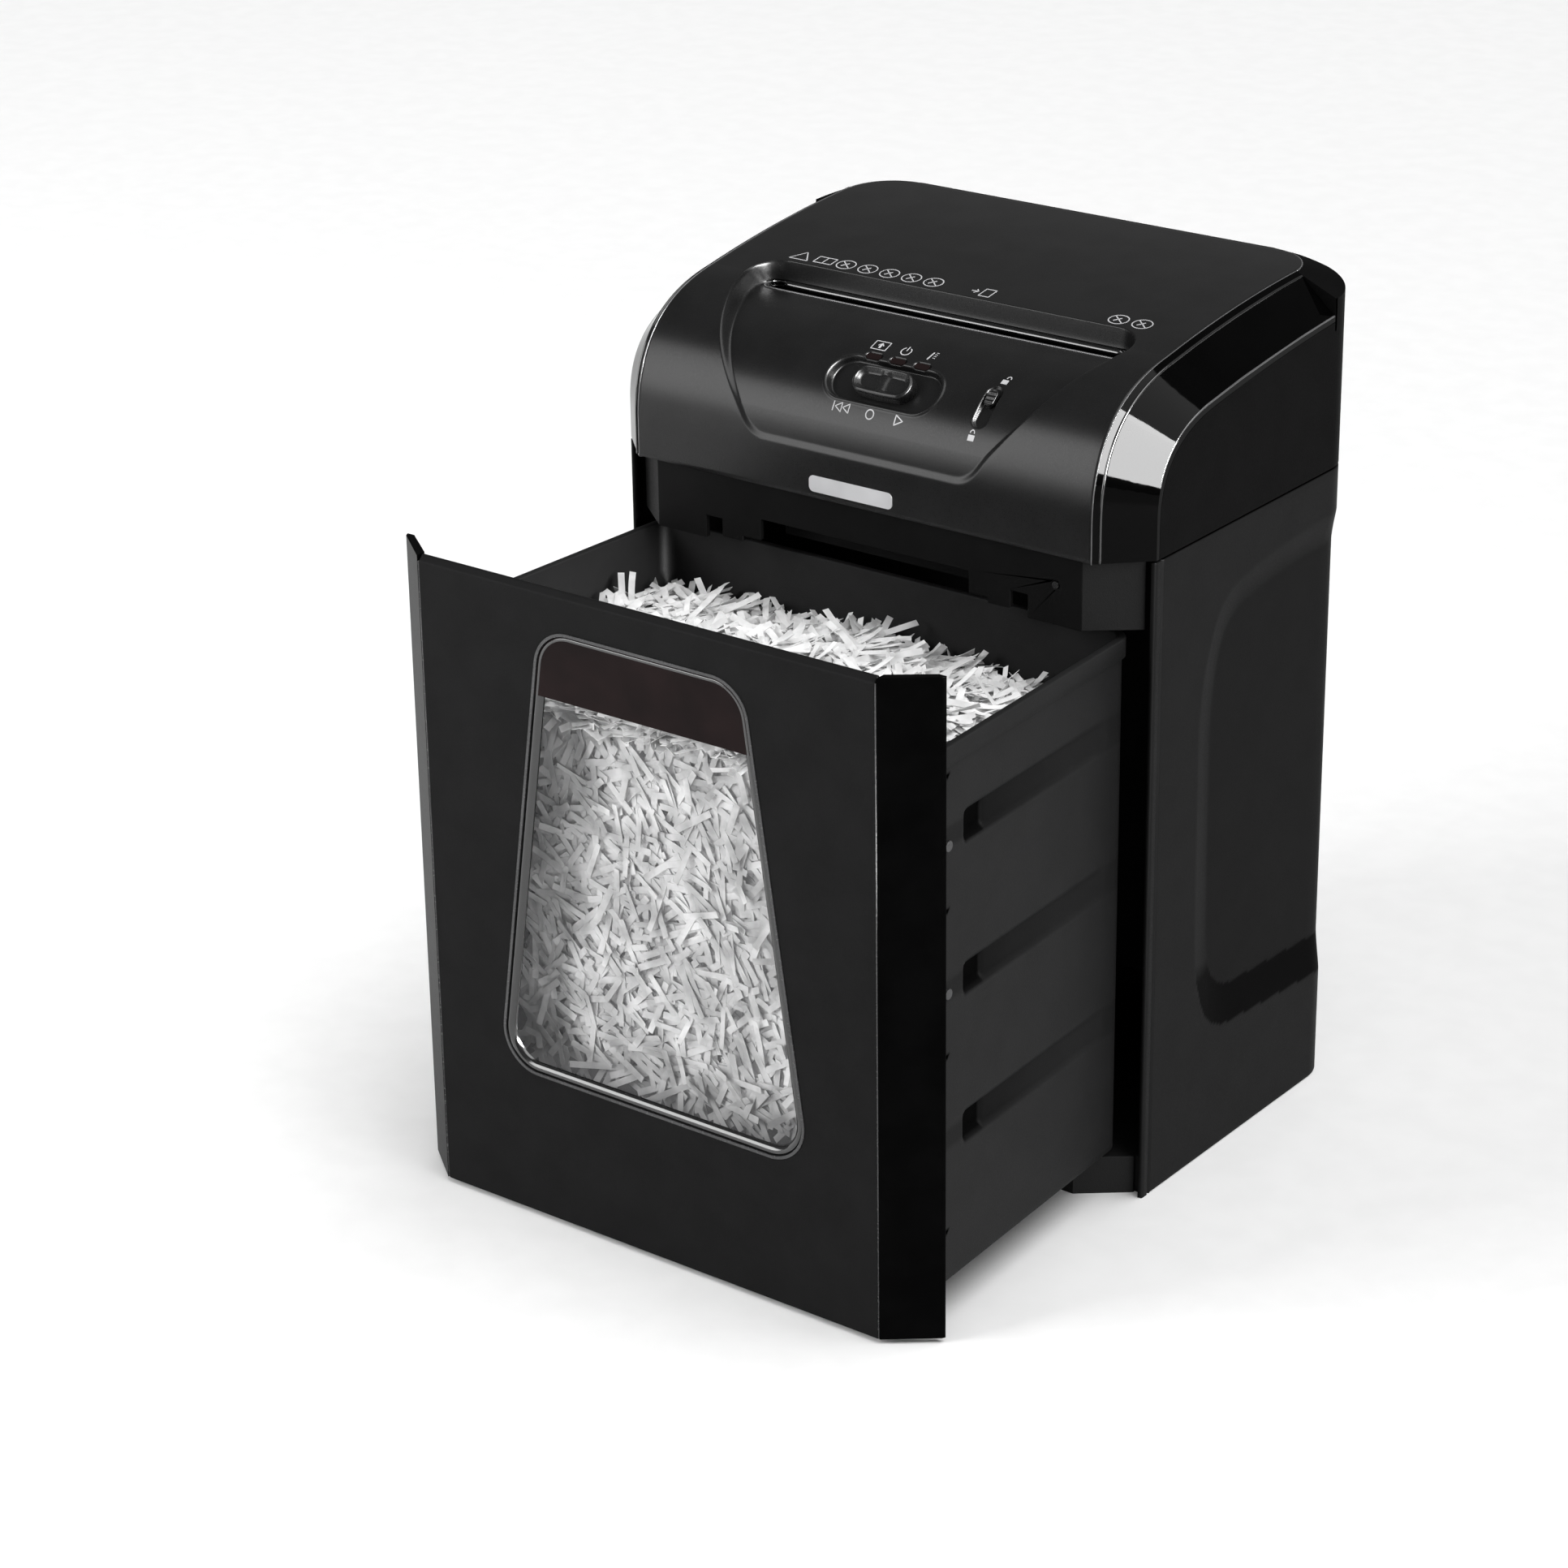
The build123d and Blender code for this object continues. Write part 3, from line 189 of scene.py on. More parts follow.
MATERIALS = {
    "matte_black": moulded("matte_black", grey(0.0058), grey(0.0072), (0.48, 0.6), 1500.0, 0.00012, 0.05),
    "satin_black": moulded("satin_black", grey(0.005), grey(0.007), (0.26, 0.34), 2200.0, 0.00003, 0.21),
    "gloss_black": moulded("gloss_black", grey(0.0008), grey(0.0012), (0.03, 0.05), 300.0, 0.000004, 0.06),
    "smoked_plastic": moulded("smoked_plastic", (0.009, 0.006, 0.006), (0.013, 0.008, 0.008), (0.12, 0.2),
                              300.0, 0.00001, 0.04),
    "clear_plastic": clear("clear_plastic", grey(0.75), grey(0.85), (0.03, 0.08), 0.05),
    "badge_silver": moulded("badge_silver", grey(0.6), grey(0.72), (0.3, 0.42), 1800.0, 0.00003, 0.5, 0.7),
    # a light grey for thin edge beads: painted highlights on those edges
    "bead_grey": moulded("bead_grey", grey(0.10), grey(0.13), (0.15, 0.25), 600.0, 0.00001, 0.6),
    "steel": moulded("steel", grey(0.42), grey(0.55), (0.25, 0.45), 700.0, 0.00004, 0.5, 1.0, 60.0,
                     (0.2, 4, 4)),
    "bronze": moulded("bronze", (0.45, 0.30, 0.14), (0.60, 0.42, 0.22), (0.4, 0.55), 1500.0, 0.00005,
                      0.5, 1.0),
    "gear_plastic": moulded("gear_plastic", (0.66, 0.65, 0.60), (0.75, 0.74, 0.68), (0.4, 0.55),
                            1200.0, 0.00003),
    "motor_shell": moulded("motor_shell", grey(0.30), grey(0.42), (0.3, 0.5), 900.0, 0.00003, 0.5, 1.0),
    "board_green": moulded("board_green", (0.02, 0.12, 0.05), (0.03, 0.18, 0.08), (0.25, 0.4),
                           800.0, 0.00004),
    "part_black": moulded("part_black", grey(0.02), grey(0.03), (0.4, 0.55), 1400.0, 0.00005),
    "plunger_white": moulded("plunger_white", (0.70, 0.69, 0.65), (0.78, 0.77, 0.72), (0.4, 0.5),
                             1200.0, 0.00003),
    "rubber": moulded("rubber", grey(0.012), grey(0.02), (0.75, 0.9), 1500.0, 0.00008, 0.3),
    "paper": paper_material("paper", 0.64, 0.92),
    "lip_black": moulded("lip_black", grey(0.004), grey(0.006), (0.12, 0.18), 300.0, 0.00001, 0.9),
    "knob_black": moulded("knob_black", grey(0.006), grey(0.009), (0.24, 0.34), 1500.0, 0.00002, 0.25),
    "wing_black": moulded("wing_black", grey(0.002), grey(0.003), (0.10, 0.16), 300.0, 0.00001, 0.004),
    "shroud_black": moulded("shroud_black", grey(0.0018), grey(0.0028), (0.45, 0.58), 1500.0, 0.0001, 0.05),
    "screw_dark": moulded("screw_dark", grey(0.04), grey(0.07), (0.25, 0.4), 900.0, 0.00003, 0.5, 1.0),
    "head_black": moulded("head_black", grey(0.002), grey(0.003), (0.48, 0.6), 1500.0, 0.00012, 0.018),
    # a light grey for the seam under the head: a painted highlight
    "seam_grey": moulded("seam_grey", grey(0.03), grey(0.045), (0.3, 0.4), 600.0, 0.00001, 0.3),
    # a darker copy of the paper for the strips at the window: painted shade
    "paper_shaded": paper_material("paper_shaded", 0.36, 0.66),
    # side_black darkens with the side panels' painted shade
    "side_black": with_painted_shade("side_black", grey(0.0048), grey(0.0062), (0.48, 0.6), 1500.0, 0.00012, 0.045),
    # a light grey for thin lines: painted highlights on the window bead and on the bin front's side edges
    "line_grey": moulded("line_grey", grey(0.035), grey(0.05), (0.2, 0.3), 600.0, 0.00001, 0.4),
    # tub_black darkens with the tub's painted shade in its grooves and clip notches
    "tub_black": with_painted_shade("tub_black", grey(0.0098), grey(0.0118), (0.48, 0.6), 1500.0, 0.00012, 0.06),
    "print_grey": moulded("print_grey", grey(0.45), grey(0.55), (0.4, 0.5), 900.0, 0.00001, 0.3),
    # near-black paper for the heap's inside: painted shade behind the strips
    "paper_core": moulded("paper_core", grey(0.05), grey(0.12), (0.8, 0.95), 400.0, 0.001, 0.2),
}
# nodes whose look differs a little from their slot's plain material
OWN_LOOK = {"bin_trim_right": "wing_black", "bin_trim_left": "wing_black", "lower_shroud": "shroud_black",
            "head_side_right": "head_black", "head_side_left": "head_black", "head_back": "head_black",
            # the window bead's light grey is a painted highlight on its edge
            "bin_screws": "screw_dark", "interlock_plunger": "knob_black", "window_bead": "line_grey"}
for row in frame["record"]["subparts"]:
    node = NODES[row["node"]]
    node.data.materials.clear()
    node.data.materials.append(MATERIALS[OWN_LOOK.get(row["node"], row["material_slot"])])

# ---------------- builders

def build(name, points, faces, material, body, nodes=(), slot=None, smooth=True, thickness=0.0):
    """A mesh piece with its material, riding its body and standing for its CAD nodes."""
    mesh = bpy.data.meshes.new(name)
    mesh.from_pydata((np.asarray(points, float) * MM).tolist(), [], faces)
    mesh.validate()
    mesh.materials.append(MATERIALS[material])
    if smooth:
        mesh.shade_smooth()
    piece = bpy.data.objects.new(name, mesh)
    bpy.context.scene.collection.objects.link(piece)
    if thickness:
        shell = piece.modifiers.new("wall", "SOLIDIFY")
        shell.thickness = thickness * MM
        shell.offset = -1
    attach(piece, body)
    if nodes:
        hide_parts(*nodes)
    return piece


def set_painted_shade(piece, painted_shade):
    """Store how dark each point's painted shade makes it, for the materials that darken with it."""
    layer = piece.data.attributes.new("painted_shade", "FLOAT", "POINT")
    layer.data.foreach_set("value", np.asarray(painted_shade, np.float32))


def grid_faces(rows, columns, closed=False, flip=False):
    """Quads over a grid of points that is stored row after row."""
    faces = []
    span = columns if closed else columns - 1
    for i in range(rows - 1):
        for j in range(span):
            k = (j + 1) % columns
            quad = (i * columns + j, i * columns + k, (i + 1) * columns + k, (i + 1) * columns + j)
            faces.append(quad[::-1] if flip else quad)
    return faces


def bezier(a, b, c, d, count):
    """Points on a cubic Bezier curve."""
    t = np.linspace(0, 1, count)[:, None]
    a, b, c, d = (np.array(p, float) for p in (a, b, c, d))
    return (1 - t) ** 3 * a + 3 * (1 - t) ** 2 * t * b + 3 * (1 - t) * t ** 2 * c + t ** 3 * d


def ease(t):
    """0 to 1 with soft ends."""
    t = np.clip(t, 0, 1)
    return t * t * (3 - 2 * t)


def soft_min(a, b, k):
    """The smaller of two distances, with the corner between them rounded."""
    h = np.clip(0.5 + 0.5 * (b - a) / k, 0, 1)
    return b * (1 - h) + a * h - k * h * (1 - h)


def inside(x, y, corners, k):
    """How far a point is inside a convex outline given anticlockwise; negative outside."""
    found = None
    for (ax, ay), (bx, by) in zip(corners, corners[1:] + corners[:1]):
        length = math.hypot(bx - ax, by - ay)
        d = ((bx - ax) * (y - ay) - (by - ay) * (x - ax)) / length
        found = d if found is None else soft_min(found, d, k)
    return found


def in_stadium(x, y, length, width):
    """How far a point is inside an oblong with round ends, centred on the origin, its length along x."""
    reach = (length - width) / 2
    return width / 2 - np.hypot(x - np.clip(x, -reach, reach), y)


def sweep(path, radius, sides=8, closed=False):
    """Points and faces of a round bar along a path, with flat ends."""
    path = np.asarray(path, float)
    count = len(path)
    if closed:
        ahead, behind = np.roll(path, -1, 0), np.roll(path, 1, 0)
    else:
        ahead, behind = np.vstack([path[1:], path[-1:]]), np.vstack([path[:1], path[:-1]])
    tangent = ahead - behind
    tangent /= np.linalg.norm(tangent, axis=1)[:, None]
    # the rings are laid out from a direction that the path doesn't follow
    guide = np.array([0.0, 0, 1]) if abs(tangent[:, 2]).max() < 0.9 else np.array([1.0, 0, 0])
    side = np.cross(tangent, guide)
    side /= np.linalg.norm(side, axis=1)[:, None]
    other = np.cross(tangent, side)
    turn = 2 * np.pi * np.arange(sides) / sides
    radius = np.broadcast_to(np.asarray(radius, float), (count,))[:, None, None]
    ring = np.cos(turn)[None, :, None] * side[:, None] + np.sin(turn)[None, :, None] * other[:, None]
    points = (path[:, None] + radius * ring).reshape(-1, 3)
    faces = grid_faces(count, sides, closed=True, flip=True)
    if closed:
        last = (count - 1) * sides
        faces += [(last + j, j, (j + 1) % sides, last + (j + 1) % sides)[::-1] for j in range(sides)]
    else:
        faces += [tuple(range(sides)), tuple((count - 1) * sides + j for j in range(sides))[::-1]]
    return points, faces


def join(*meshes):
    """Several lots of points and faces as one."""
    points, faces, base = [], [], 0
    for p, f in meshes:
        points.append(np.asarray(p, float))
        faces += [tuple(i + base for i in face) for face in f]
        base += len(p)
    return np.vstack(points), faces


def mirrored(points, faces):
    """The same mesh on the other side of the middle plane."""
    return np.asarray(points, float) * (-1, 1, 1), [face[::-1] for face in faces]


# ---------------- head cover

FRONT_Y, BOTTOM_Z = low_mm("head_top_cover")[1:]
COVER_X, REAR_Y, REAR_Z = high_mm("head_top_cover")
SHOULDER = (-54.0, 458.0)
CROWN = 3.3
# the control panel's slope, and the mode switch's middle on it
SLOPE = math.radians(42)
CONTROL = (4.0, -103.4, 430.5)
# the sunk panel: its outline across and up the slope, the runs of its sides, its edge's step and corners
RECESS = [(-71, -40), (71, -40), (101, -4), (126, 54), (126, 400), (-126, 400), (-126, 54), (-101, -4)]
BEVEL, REAR_RUN = 4.0, 9.2
EDGE_STEP = 1.5
RECESS_CORNER = 20.0
REAR_WALL_Y = -35.5
THROAT_Y, THROAT_Z = -42.0, 448.5
THROAT_SIZE, THROAT_DROP = (237.0, 14.0), 19.0
THROAT_REACH = (THROAT_SIZE[0] - THROAT_SIZE[1]) / 2
TOP_CORNER_R = 30.0
CORNER_Y = REAR_Y - TOP_CORNER_R
# the pockets' lengths and widths
SWITCH_POCKET, SWITCH_DEPTH = (71, 26), 5.0
LOCK_POCKET, LOCK_DEPTH = (26, 9.6), 3.0
LAMP_POCKET, LAMP_DEPTH = (11.4, 5.6), 1.5
LOCK_X = 69.5
LAMPS = ((-11.5, 15.4), (4.0, 15.4), (19.5, 15.4))


def crown_z(y):
    """The top's height at a depth: a slightly crowned line from the shoulder to the rear."""
    t = (y - SHOULDER[0]) / (REAR_Y - SHOULDER[0])
    return SHOULDER[1] + (REAR_Z - SHOULDER[1]) * t + 4 * CROWN * t * (1 - t)


def slope_frame(yz):
    """Side-view points as distance up the control panel's slope and height above it."""
    y, z = yz[:, 0] - CONTROL[1], yz[:, 1] - CONTROL[2]
    return y * math.cos(SLOPE) + z * math.sin(SLOPE), z * math.cos(SLOPE) - y * math.sin(SLOPE)


def slope_point(x, w, d):
    """A point in space from its place on the control panel's slope."""
    y = CONTROL[1] + w * math.cos(SLOPE) - d * math.sin(SLOPE)
    z = CONTROL[2] + w * math.sin(SLOPE) + d * math.cos(SLOPE)
    return np.stack(np.broadcast_arrays(x, y, z), -1)


crown_y = np.linspace(SHOULDER[0], REAR_Y, 120)
cover_line = np.vstack([
    np.column_stack([np.full(20, FRONT_Y), np.linspace(BOTTOM_Z, 385.9, 20)]),
    bezier((FRONT_Y, 386), (FRONT_Y, 432), (-96, 452), SHOULDER, 200)[:-1],
    np.column_stack([crown_y, crown_z(crown_y)])])
cover_w, cover_d = slope_frame(cover_line)
floor_line = np.vstack([
    bezier((FRONT_Y, 388), (-121, 423), (-96, 446), (-50, THROAT_Z), 200), [(0.0, THROAT_Z)]])
floor_w, floor_d = slope_frame(floor_line)
REAR_W = slope_frame(np.array([(REAR_WALL_Y, crown_z(REAR_WALL_Y))]))[0][0]
WALL_FOOT_W = slope_frame(np.array([(REAR_WALL_Y, THROAT_Z)]))[0][0]


def sunk_share(x, w):
    """How far down to the sunk panel's floor a place is, 0 to 1: its sides slope, its rear wall is upright."""
    side, rear = inside(x, w, RECESS, 7.0), REAR_W - w
    a, b = RECESS_CORNER - side, RECESS_CORNER - rear
    corner = (a > 0) & (b > 0)
    rounded = RECESS_CORNER - np.hypot(np.maximum(a, 0), np.maximum(b, 0))
    reach = np.where(corner, rounded, np.minimum(side, rear))
    lean = np.where(corner, np.sin(np.arctan2(b, np.maximum(a, 1e-9))) ** 2, (rear < side) * 1.0)
    run = BEVEL + (REAR_RUN - BEVEL) * lean
    t = np.clip(reach / run, 0, 1)
    return ease(t) * (1 - lean) + lean * (t * 0.9 + 0.1 * ease(t))


def panel_height(x, w):
    """The head's front and top as height above the slope: cover, sunk panel and pockets."""
    top = np.interp(w, cover_w, cover_d)
    sunk = np.minimum(np.interp(w, floor_w, floor_d), top - EDGE_STEP)
    height = top + sunk_share(x, w) * (sunk - top)
    reach = in_stadium(x - CONTROL[0], w, *SWITCH_POCKET)
    switch = ease(reach / 1.6)
    lip = 0.7 * ease(1 - abs(reach + 0.9) / 1.2)
    height = (height + lip) * (1 - switch) - SWITCH_DEPTH * switch
    lock = ease(in_stadium(w, x - LOCK_X, *LOCK_POCKET) / 0.9)
    height = height * (1 - lock) - LOCK_DEPTH * lock
    for lamp_x, lamp_w in LAMPS:
        height = height - LAMP_DEPTH * ease(in_stadium(x - lamp_x, w - lamp_w, *LAMP_POCKET) / 0.9)
    return height


def recess_half(w):
    """Half the sunk panel's width at a distance up the slope."""
    widths, ups = zip(*RECESS[1:4])
    return np.interp(w, ups, widths)


def cover_half(y):
    """Half the cover's width at a depth: straight sides, then round rear corners."""
    past = np.clip((y - CORNER_Y) / TOP_CORNER_R, 0, 1)
    return COVER_X - TOP_CORNER_R * (1 - np.sqrt(1 - past ** 2))


def cover_mesh():
    """The cover as a grid whose columns follow the sunk panel's edges."""
    throat_w = slope_frame(np.array([(THROAT_Y - THROAT_SIZE[1] / 2, THROAT_Z)]))[0][0]
    # rows up the slope: coarse below the controls, fine over them and the throat, coarse again on the top
    rows = np.unique(np.round(np.concatenate([
        np.linspace(cover_w[0], -46, 8), np.arange(-45.5, 51.5, 0.5), np.linspace(51.6, throat_w, 3),
        np.linspace(throat_w, WALL_FOOT_W, 20), np.linspace(WALL_FOOT_W, REAR_W, 20), [REAR_W + 0.6],
        np.arange(74.5, cover_w[-1] - 1, 2.5), [cover_w[-1]]]), 3))
    edge = (0.0, 0.35, 0.8, 1.4, 2.0, 2.6, 3.2, 3.65, 4.0, 4.6)
    inner = np.linspace(-1, 1, 421)
    points = []
    for w in rows:
        half = recess_half(w)
        inside_x = half - edge[-1]
        near = half - np.array(edge[:-1][::-1])
        beyond = half + (COVER_X - half) * np.linspace(0, 1, 17)[1:-2]
        rim = COVER_X - np.array([1.6, 0.9, 0.4, 0.12, 0.0])
        right = np.concatenate([near, beyond, rim])
        x = np.concatenate([-right[::-1], inner * inside_x, right])
        drop = np.clip(1 - (COVER_X - abs(x)) / 1.2, 0, 1)
        height = panel_height(x, w) - 0.9 * (1 - np.sqrt(1 - drop ** 2))
        row = slope_point(x, w, height)
        row[:, 0] *= cover_half(row[:, 1]) / COVER_X
        points.append(row)
    columns = len(points[0])
    points = np.vstack(points)
    faces = np.array(grid_faces(len(rows), columns))
    # the paper throat is cut out, its edge is drawn true and its wall runs down
    reach = in_stadium(points[:, 0], points[:, 1] - THROAT_Y, *THROAT_SIZE)
    low = points[:, 2] < THROAT_Z + 0.3
    gone = (reach[faces] > -0.02).sum(1) >= 3
    gone &= low[faces].any(1) & (abs(points[faces].mean(1)[:, 1] - THROAT_Y) < THROAT_SIZE[1])
    kept = faces[~gone]
    cut = np.intersect1d(kept, faces[gone])
    axis = np.clip(points[cut, 0], -THROAT_REACH, THROAT_REACH)
    out = points[cut][:, :2] - np.column_stack([axis, np.full(len(cut), THROAT_Y)])
    out *= (THROAT_SIZE[1] / 2 / np.maximum(np.hypot(out[:, 0], out[:, 1]), 1e-6))[:, None]
    fine = abs(points[cut, 2] - THROAT_Z) < 1.0
    points[cut[fine], 0] = (axis + out[:, 0])[fine]
    points[cut[fine], 1] = (THROAT_Y + out[:, 1])[fine]
    kept_faces = [tuple(f) for f in kept]
    border = {}
    for f in faces[gone]:
        for a, b in zip(f, np.roll(f, -1)):
            if (b, a) in border:
                del border[(b, a)]
            else:
                border[(a, b)] = True
    # each border point gets a twin at the foot of the throat's wall
    below = {}
    extra = []
    for a, b in border:
        for v in (a, b):
            if v not in below:
                below[v] = len(points) + len(extra)
                extra.append(points[v] - (0, 0, points[v][2] - THROAT_Z + THROAT_DROP))
        kept_faces.append((a, b, below[b], below[a]))
    return np.vstack([points, extra]), kept_faces


build("head_cover_shell", *cover_mesh(), "satin_black", "cabinet", ["head_top_cover"], thickness=1.4)


def stadium(length, width, count):
    """An oblong's edge points, each as the nearest point of its middle line and its direction outwards."""
    turn = 2 * np.pi * np.arange(count) / count
    out = np.column_stack([np.cos(turn), np.sin(turn)])
    reach = (length - width) / 2
    axis = np.column_stack([reach * np.clip(3 * out[:, 0], -1, 1), np.zeros(count)])
    return axis, out


axis, out = stadium(*THROAT_SIZE, 160)
rim = axis + out * (THROAT_SIZE[1] / 2 + 0.1)
rim = np.column_stack([rim[:, 0], rim[:, 1] + THROAT_Y, np.full(len(rim), THROAT_Z + 0.15)])
# the throat's light grey rim: a painted highlight along its edge
build("throat_rim", *sweep(rim, 0.5, closed=True), "bead_grey", "cabinet")
lip_end = np.array([107.5, 108.8, 109.6, 110.0])
lip_x = np.concatenate([-lip_end[::-1], np.linspace(-106, 106, 60), lip_end])
lip_r = 2.0 * np.sqrt(np.clip(1 - (np.clip(abs(lip_x) - 107.0, 0, 3) / 3.05) ** 2, 0.02, 1))
lip = np.column_stack([lip_x, np.full(len(lip_x), THROAT_Y + 4.3), np.full(len(lip_x), THROAT_Z - 0.4)])
build("throat_lip", *sweep(lip, lip_r, 16), "lip_black", "cabinet", slot="gloss_black")

# ---------------- head sides and their beads

TRIM_X, RIM_Y = low_mm("head_trim_right")[0], high_mm("head_trim_right")[1]
TRIM_FRONT_Y = low_mm("head_trim_right")[1] + 23.0
TRIM_DROP = 2.8
TRIM_WIDTH = 23.8
SIDE_EDGE_X = high_mm("head_side_right")[0]
SEAM_Z = low_mm("head_side_right")[2]
HEAD_CORNER_R = 25.0
HEAD_CORNER_Y = REAR_Y - HEAD_CORNER_R
# the rim behind the trims: its gap to them, its run across the rear, and its heights
RIM_GAP = 0.3
RIM_REAR_RUN = 29.5
RIM_LOW_Z, RIM_RISE = 461.0, 11.3
RIM_FOOT_Z = 443.0
EDGE_POINTS = 120

rim_y = np.linspace(SHOULDER[0] + 1, RIM_Y, 40)
rim_z = np.interp(rim_y, [-53, -20, 10, 40, RIM_Y], [436, 441.3, 445, 448.3, 451])
trim_line = np.vstack([
    np.column_stack([np.full(8, TRIM_FRONT_Y), np.linspace(BOTTOM_Z, 386.9, 8)]),
    bezier((TRIM_FRONT_Y, 387), (TRIM_FRONT_Y, 415), (-83, 430), (-53, 436), 60)[:-1],
    np.column_stack([rim_y, rim_z])])


def resample(line, count):
    """The same line with evenly spread points."""
    step = np.concatenate([[0], np.cumsum(np.hypot(*np.diff(line, axis=0).T))])
    at = np.linspace(0, step[-1], count)
    return np.column_stack([np.interp(at, step, line[:, 0]), np.interp(at, step, line[:, 1])])


inner_edge = resample(cover_line[cover_line[:, 0] <= RIM_Y], EDGE_POINTS)
outer_edge = resample(trim_line, EDGE_POINTS)


def round_the_rear(start, count):
    """The cover's rounded rear corner as seen from above, from a depth to the rear edge."""
    turn = np.linspace(math.asin((start - CORNER_Y) / TOP_CORNER_R), math.pi / 2, count)
    x = COVER_X - TOP_CORNER_R * (1 - np.cos(turn))
    return np.column_stack([x, CORNER_Y + TOP_CORNER_R * np.sin(turn)])


def outer_corner(share):
    """A point of the head's outer rear corner, for a share of the way along its side, round it and inwards."""
    straight, arc = HEAD_CORNER_Y - RIM_Y - RIM_GAP, math.pi / 2 * HEAD_CORNER_R
    run = share * (straight + arc + RIM_REAR_RUN)
    if run < straight:
        x, y = SIDE_EDGE_X, RIM_Y + RIM_GAP + run
    elif run < straight + arc:
        turn = (run - straight) / HEAD_CORNER_R
        x = SIDE_EDGE_X - HEAD_CORNER_R * (1 - math.cos(turn))
        y = HEAD_CORNER_Y + HEAD_CORNER_R * math.sin(turn)
    else:
        x, y = SIDE_EDGE_X - HEAD_CORNER_R - (run - straight - arc), REAR_Y
    return x, y, RIM_LOW_Z + RIM_RISE * float(ease(share * 1.1))


def head_side_mesh():
    """A side of the head: wall below the trim, front of the rim and sloping band round the rear corner."""
    outer = np.array([outer_corner(v) for v in np.linspace(0, 1, 33)])
    curve = trim_line[trim_line[:, 1] > 386.0] + (TRIM_DROP, -TRIM_DROP)
    ys = np.unique(np.concatenate([curve[::4, 0], np.linspace(curve[0, 0], RIM_Y, 60)]))
    ys = ys[ys < RIM_Y]
    tops = np.interp(ys, curve[:, 0], curve[:, 1])
    on_side = outer[outer[:, 0] > low_mm("head_side_right")[0] + 0.2]
    along = np.column_stack([np.full(len(ys), SIDE_EDGE_X), ys])
    plan = np.vstack([along, [(SIDE_EDGE_X, RIM_Y)], on_side[:, :2]])
    top = np.concatenate([tops, [tops[-1]], on_side[:, 2]])
    foot = SEAM_Z + 1
    walls = np.vstack([np.column_stack([plan, foot + (top - foot) * v]) for v in (0, 0.5, 1)])
    wall = (walls, grid_faces(3, len(plan)))
    inner = round_the_rear(RIM_Y + RIM_GAP, 33)
    inner = np.column_stack([inner[:, 0] + 0.3, inner[:, 1], crown_z(inner[:, 1]) - 0.6])
    rows = [outer * (1 - v) + inner * v for v in np.linspace(0, 1, 9)]
    band = (np.vstack(rows), grid_faces(9, 33))
    y = RIM_Y + RIM_GAP
    front = (np.array([(inner[0, 0], y, inner[0, 2]), (SIDE_EDGE_X, y, RIM_LOW_Z), (SIDE_EDGE_X, y, RIM_FOOT_Z),
                       (inner[0, 0], y, RIM_FOOT_Z)]), [(3, 2, 1, 0)])
    return join(wall, band, front)


# the seam under the head, drawn as a light grey line: a painted highlight along it
seam = [(SIDE_EDGE_X - 0.42, y) for y in np.linspace(TRIM_FRONT_Y + TRIM_DROP, RIM_Y, 20)]
seam += [(x - 0.42, y - 0.4) for x, y, z in map(outer_corner, np.linspace(0.02, 0.7, 24))]
seam = np.column_stack([seam, np.full(len(seam), SEAM_Z + 1.2)])
for side, word in SIDES:
    build("seam_line_" + word, *sweep(seam * (side, 1, 1), 0.38), "seam_grey", "cabinet", slot="gloss_black")
right_mesh = head_side_mesh()
for word, mesh in (("right", right_mesh), ("left", mirrored(*right_mesh))):
    build("head_side_shell_" + word, *mesh, "head_black", "cabinet", ["head_side_" + word], slot="matte_black",
          smooth=False, thickness=1.6)

# beads along the edges of the cover and of the trims; the light grey beads on the cover's edge and on the
# trims' outer edge are painted highlights
for side, word in SIDES:
    flip = (side, 1, 1)
    near = inner_edge + (0.25, -0.35)
    near = np.column_stack([np.full(EDGE_POINTS, TRIM_X - 0.55), near])
    rear = round_the_rear(RIM_Y + 2, 24)
    rear = np.column_stack([rear[:, 0] + 0.1, rear[:, 1] - 0.5, crown_z(rear[:, 1]) - 0.45])
    end = [(x, rear[-1, 1], rear[-1, 2]) for x in np.linspace(rear[-1, 0] - 10, 0, 8)]
    around = np.vstack([near[-1:], rear, end])
    bead = join(sweep(near * flip, 0.42), sweep(around * flip, 0.42))
    build("cover_bead_" + word, *bead, "bead_grey", "cabinet")
    share = 0.12
    path = inner_edge * (1 - share) + outer_edge * share
    bead = np.column_stack([np.full(EDGE_POINTS, side * (TRIM_X + TRIM_WIDTH * share)), path])
    build("trim_bead_inner_" + word, *sweep(bead, 0.85, 10), "lip_black", "cabinet", slot="gloss_black")
    bead = np.column_stack([np.full(EDGE_POINTS, side * (SIDE_EDGE_X - 0.75)), outer_edge + (0.3, 0.1)])
    build("trim_bead_outer_" + word, *sweep(bead, 0.7), "bead_grey", "cabinet")

# ---------------- switches and printed marks

KNOB_POINTS = 96


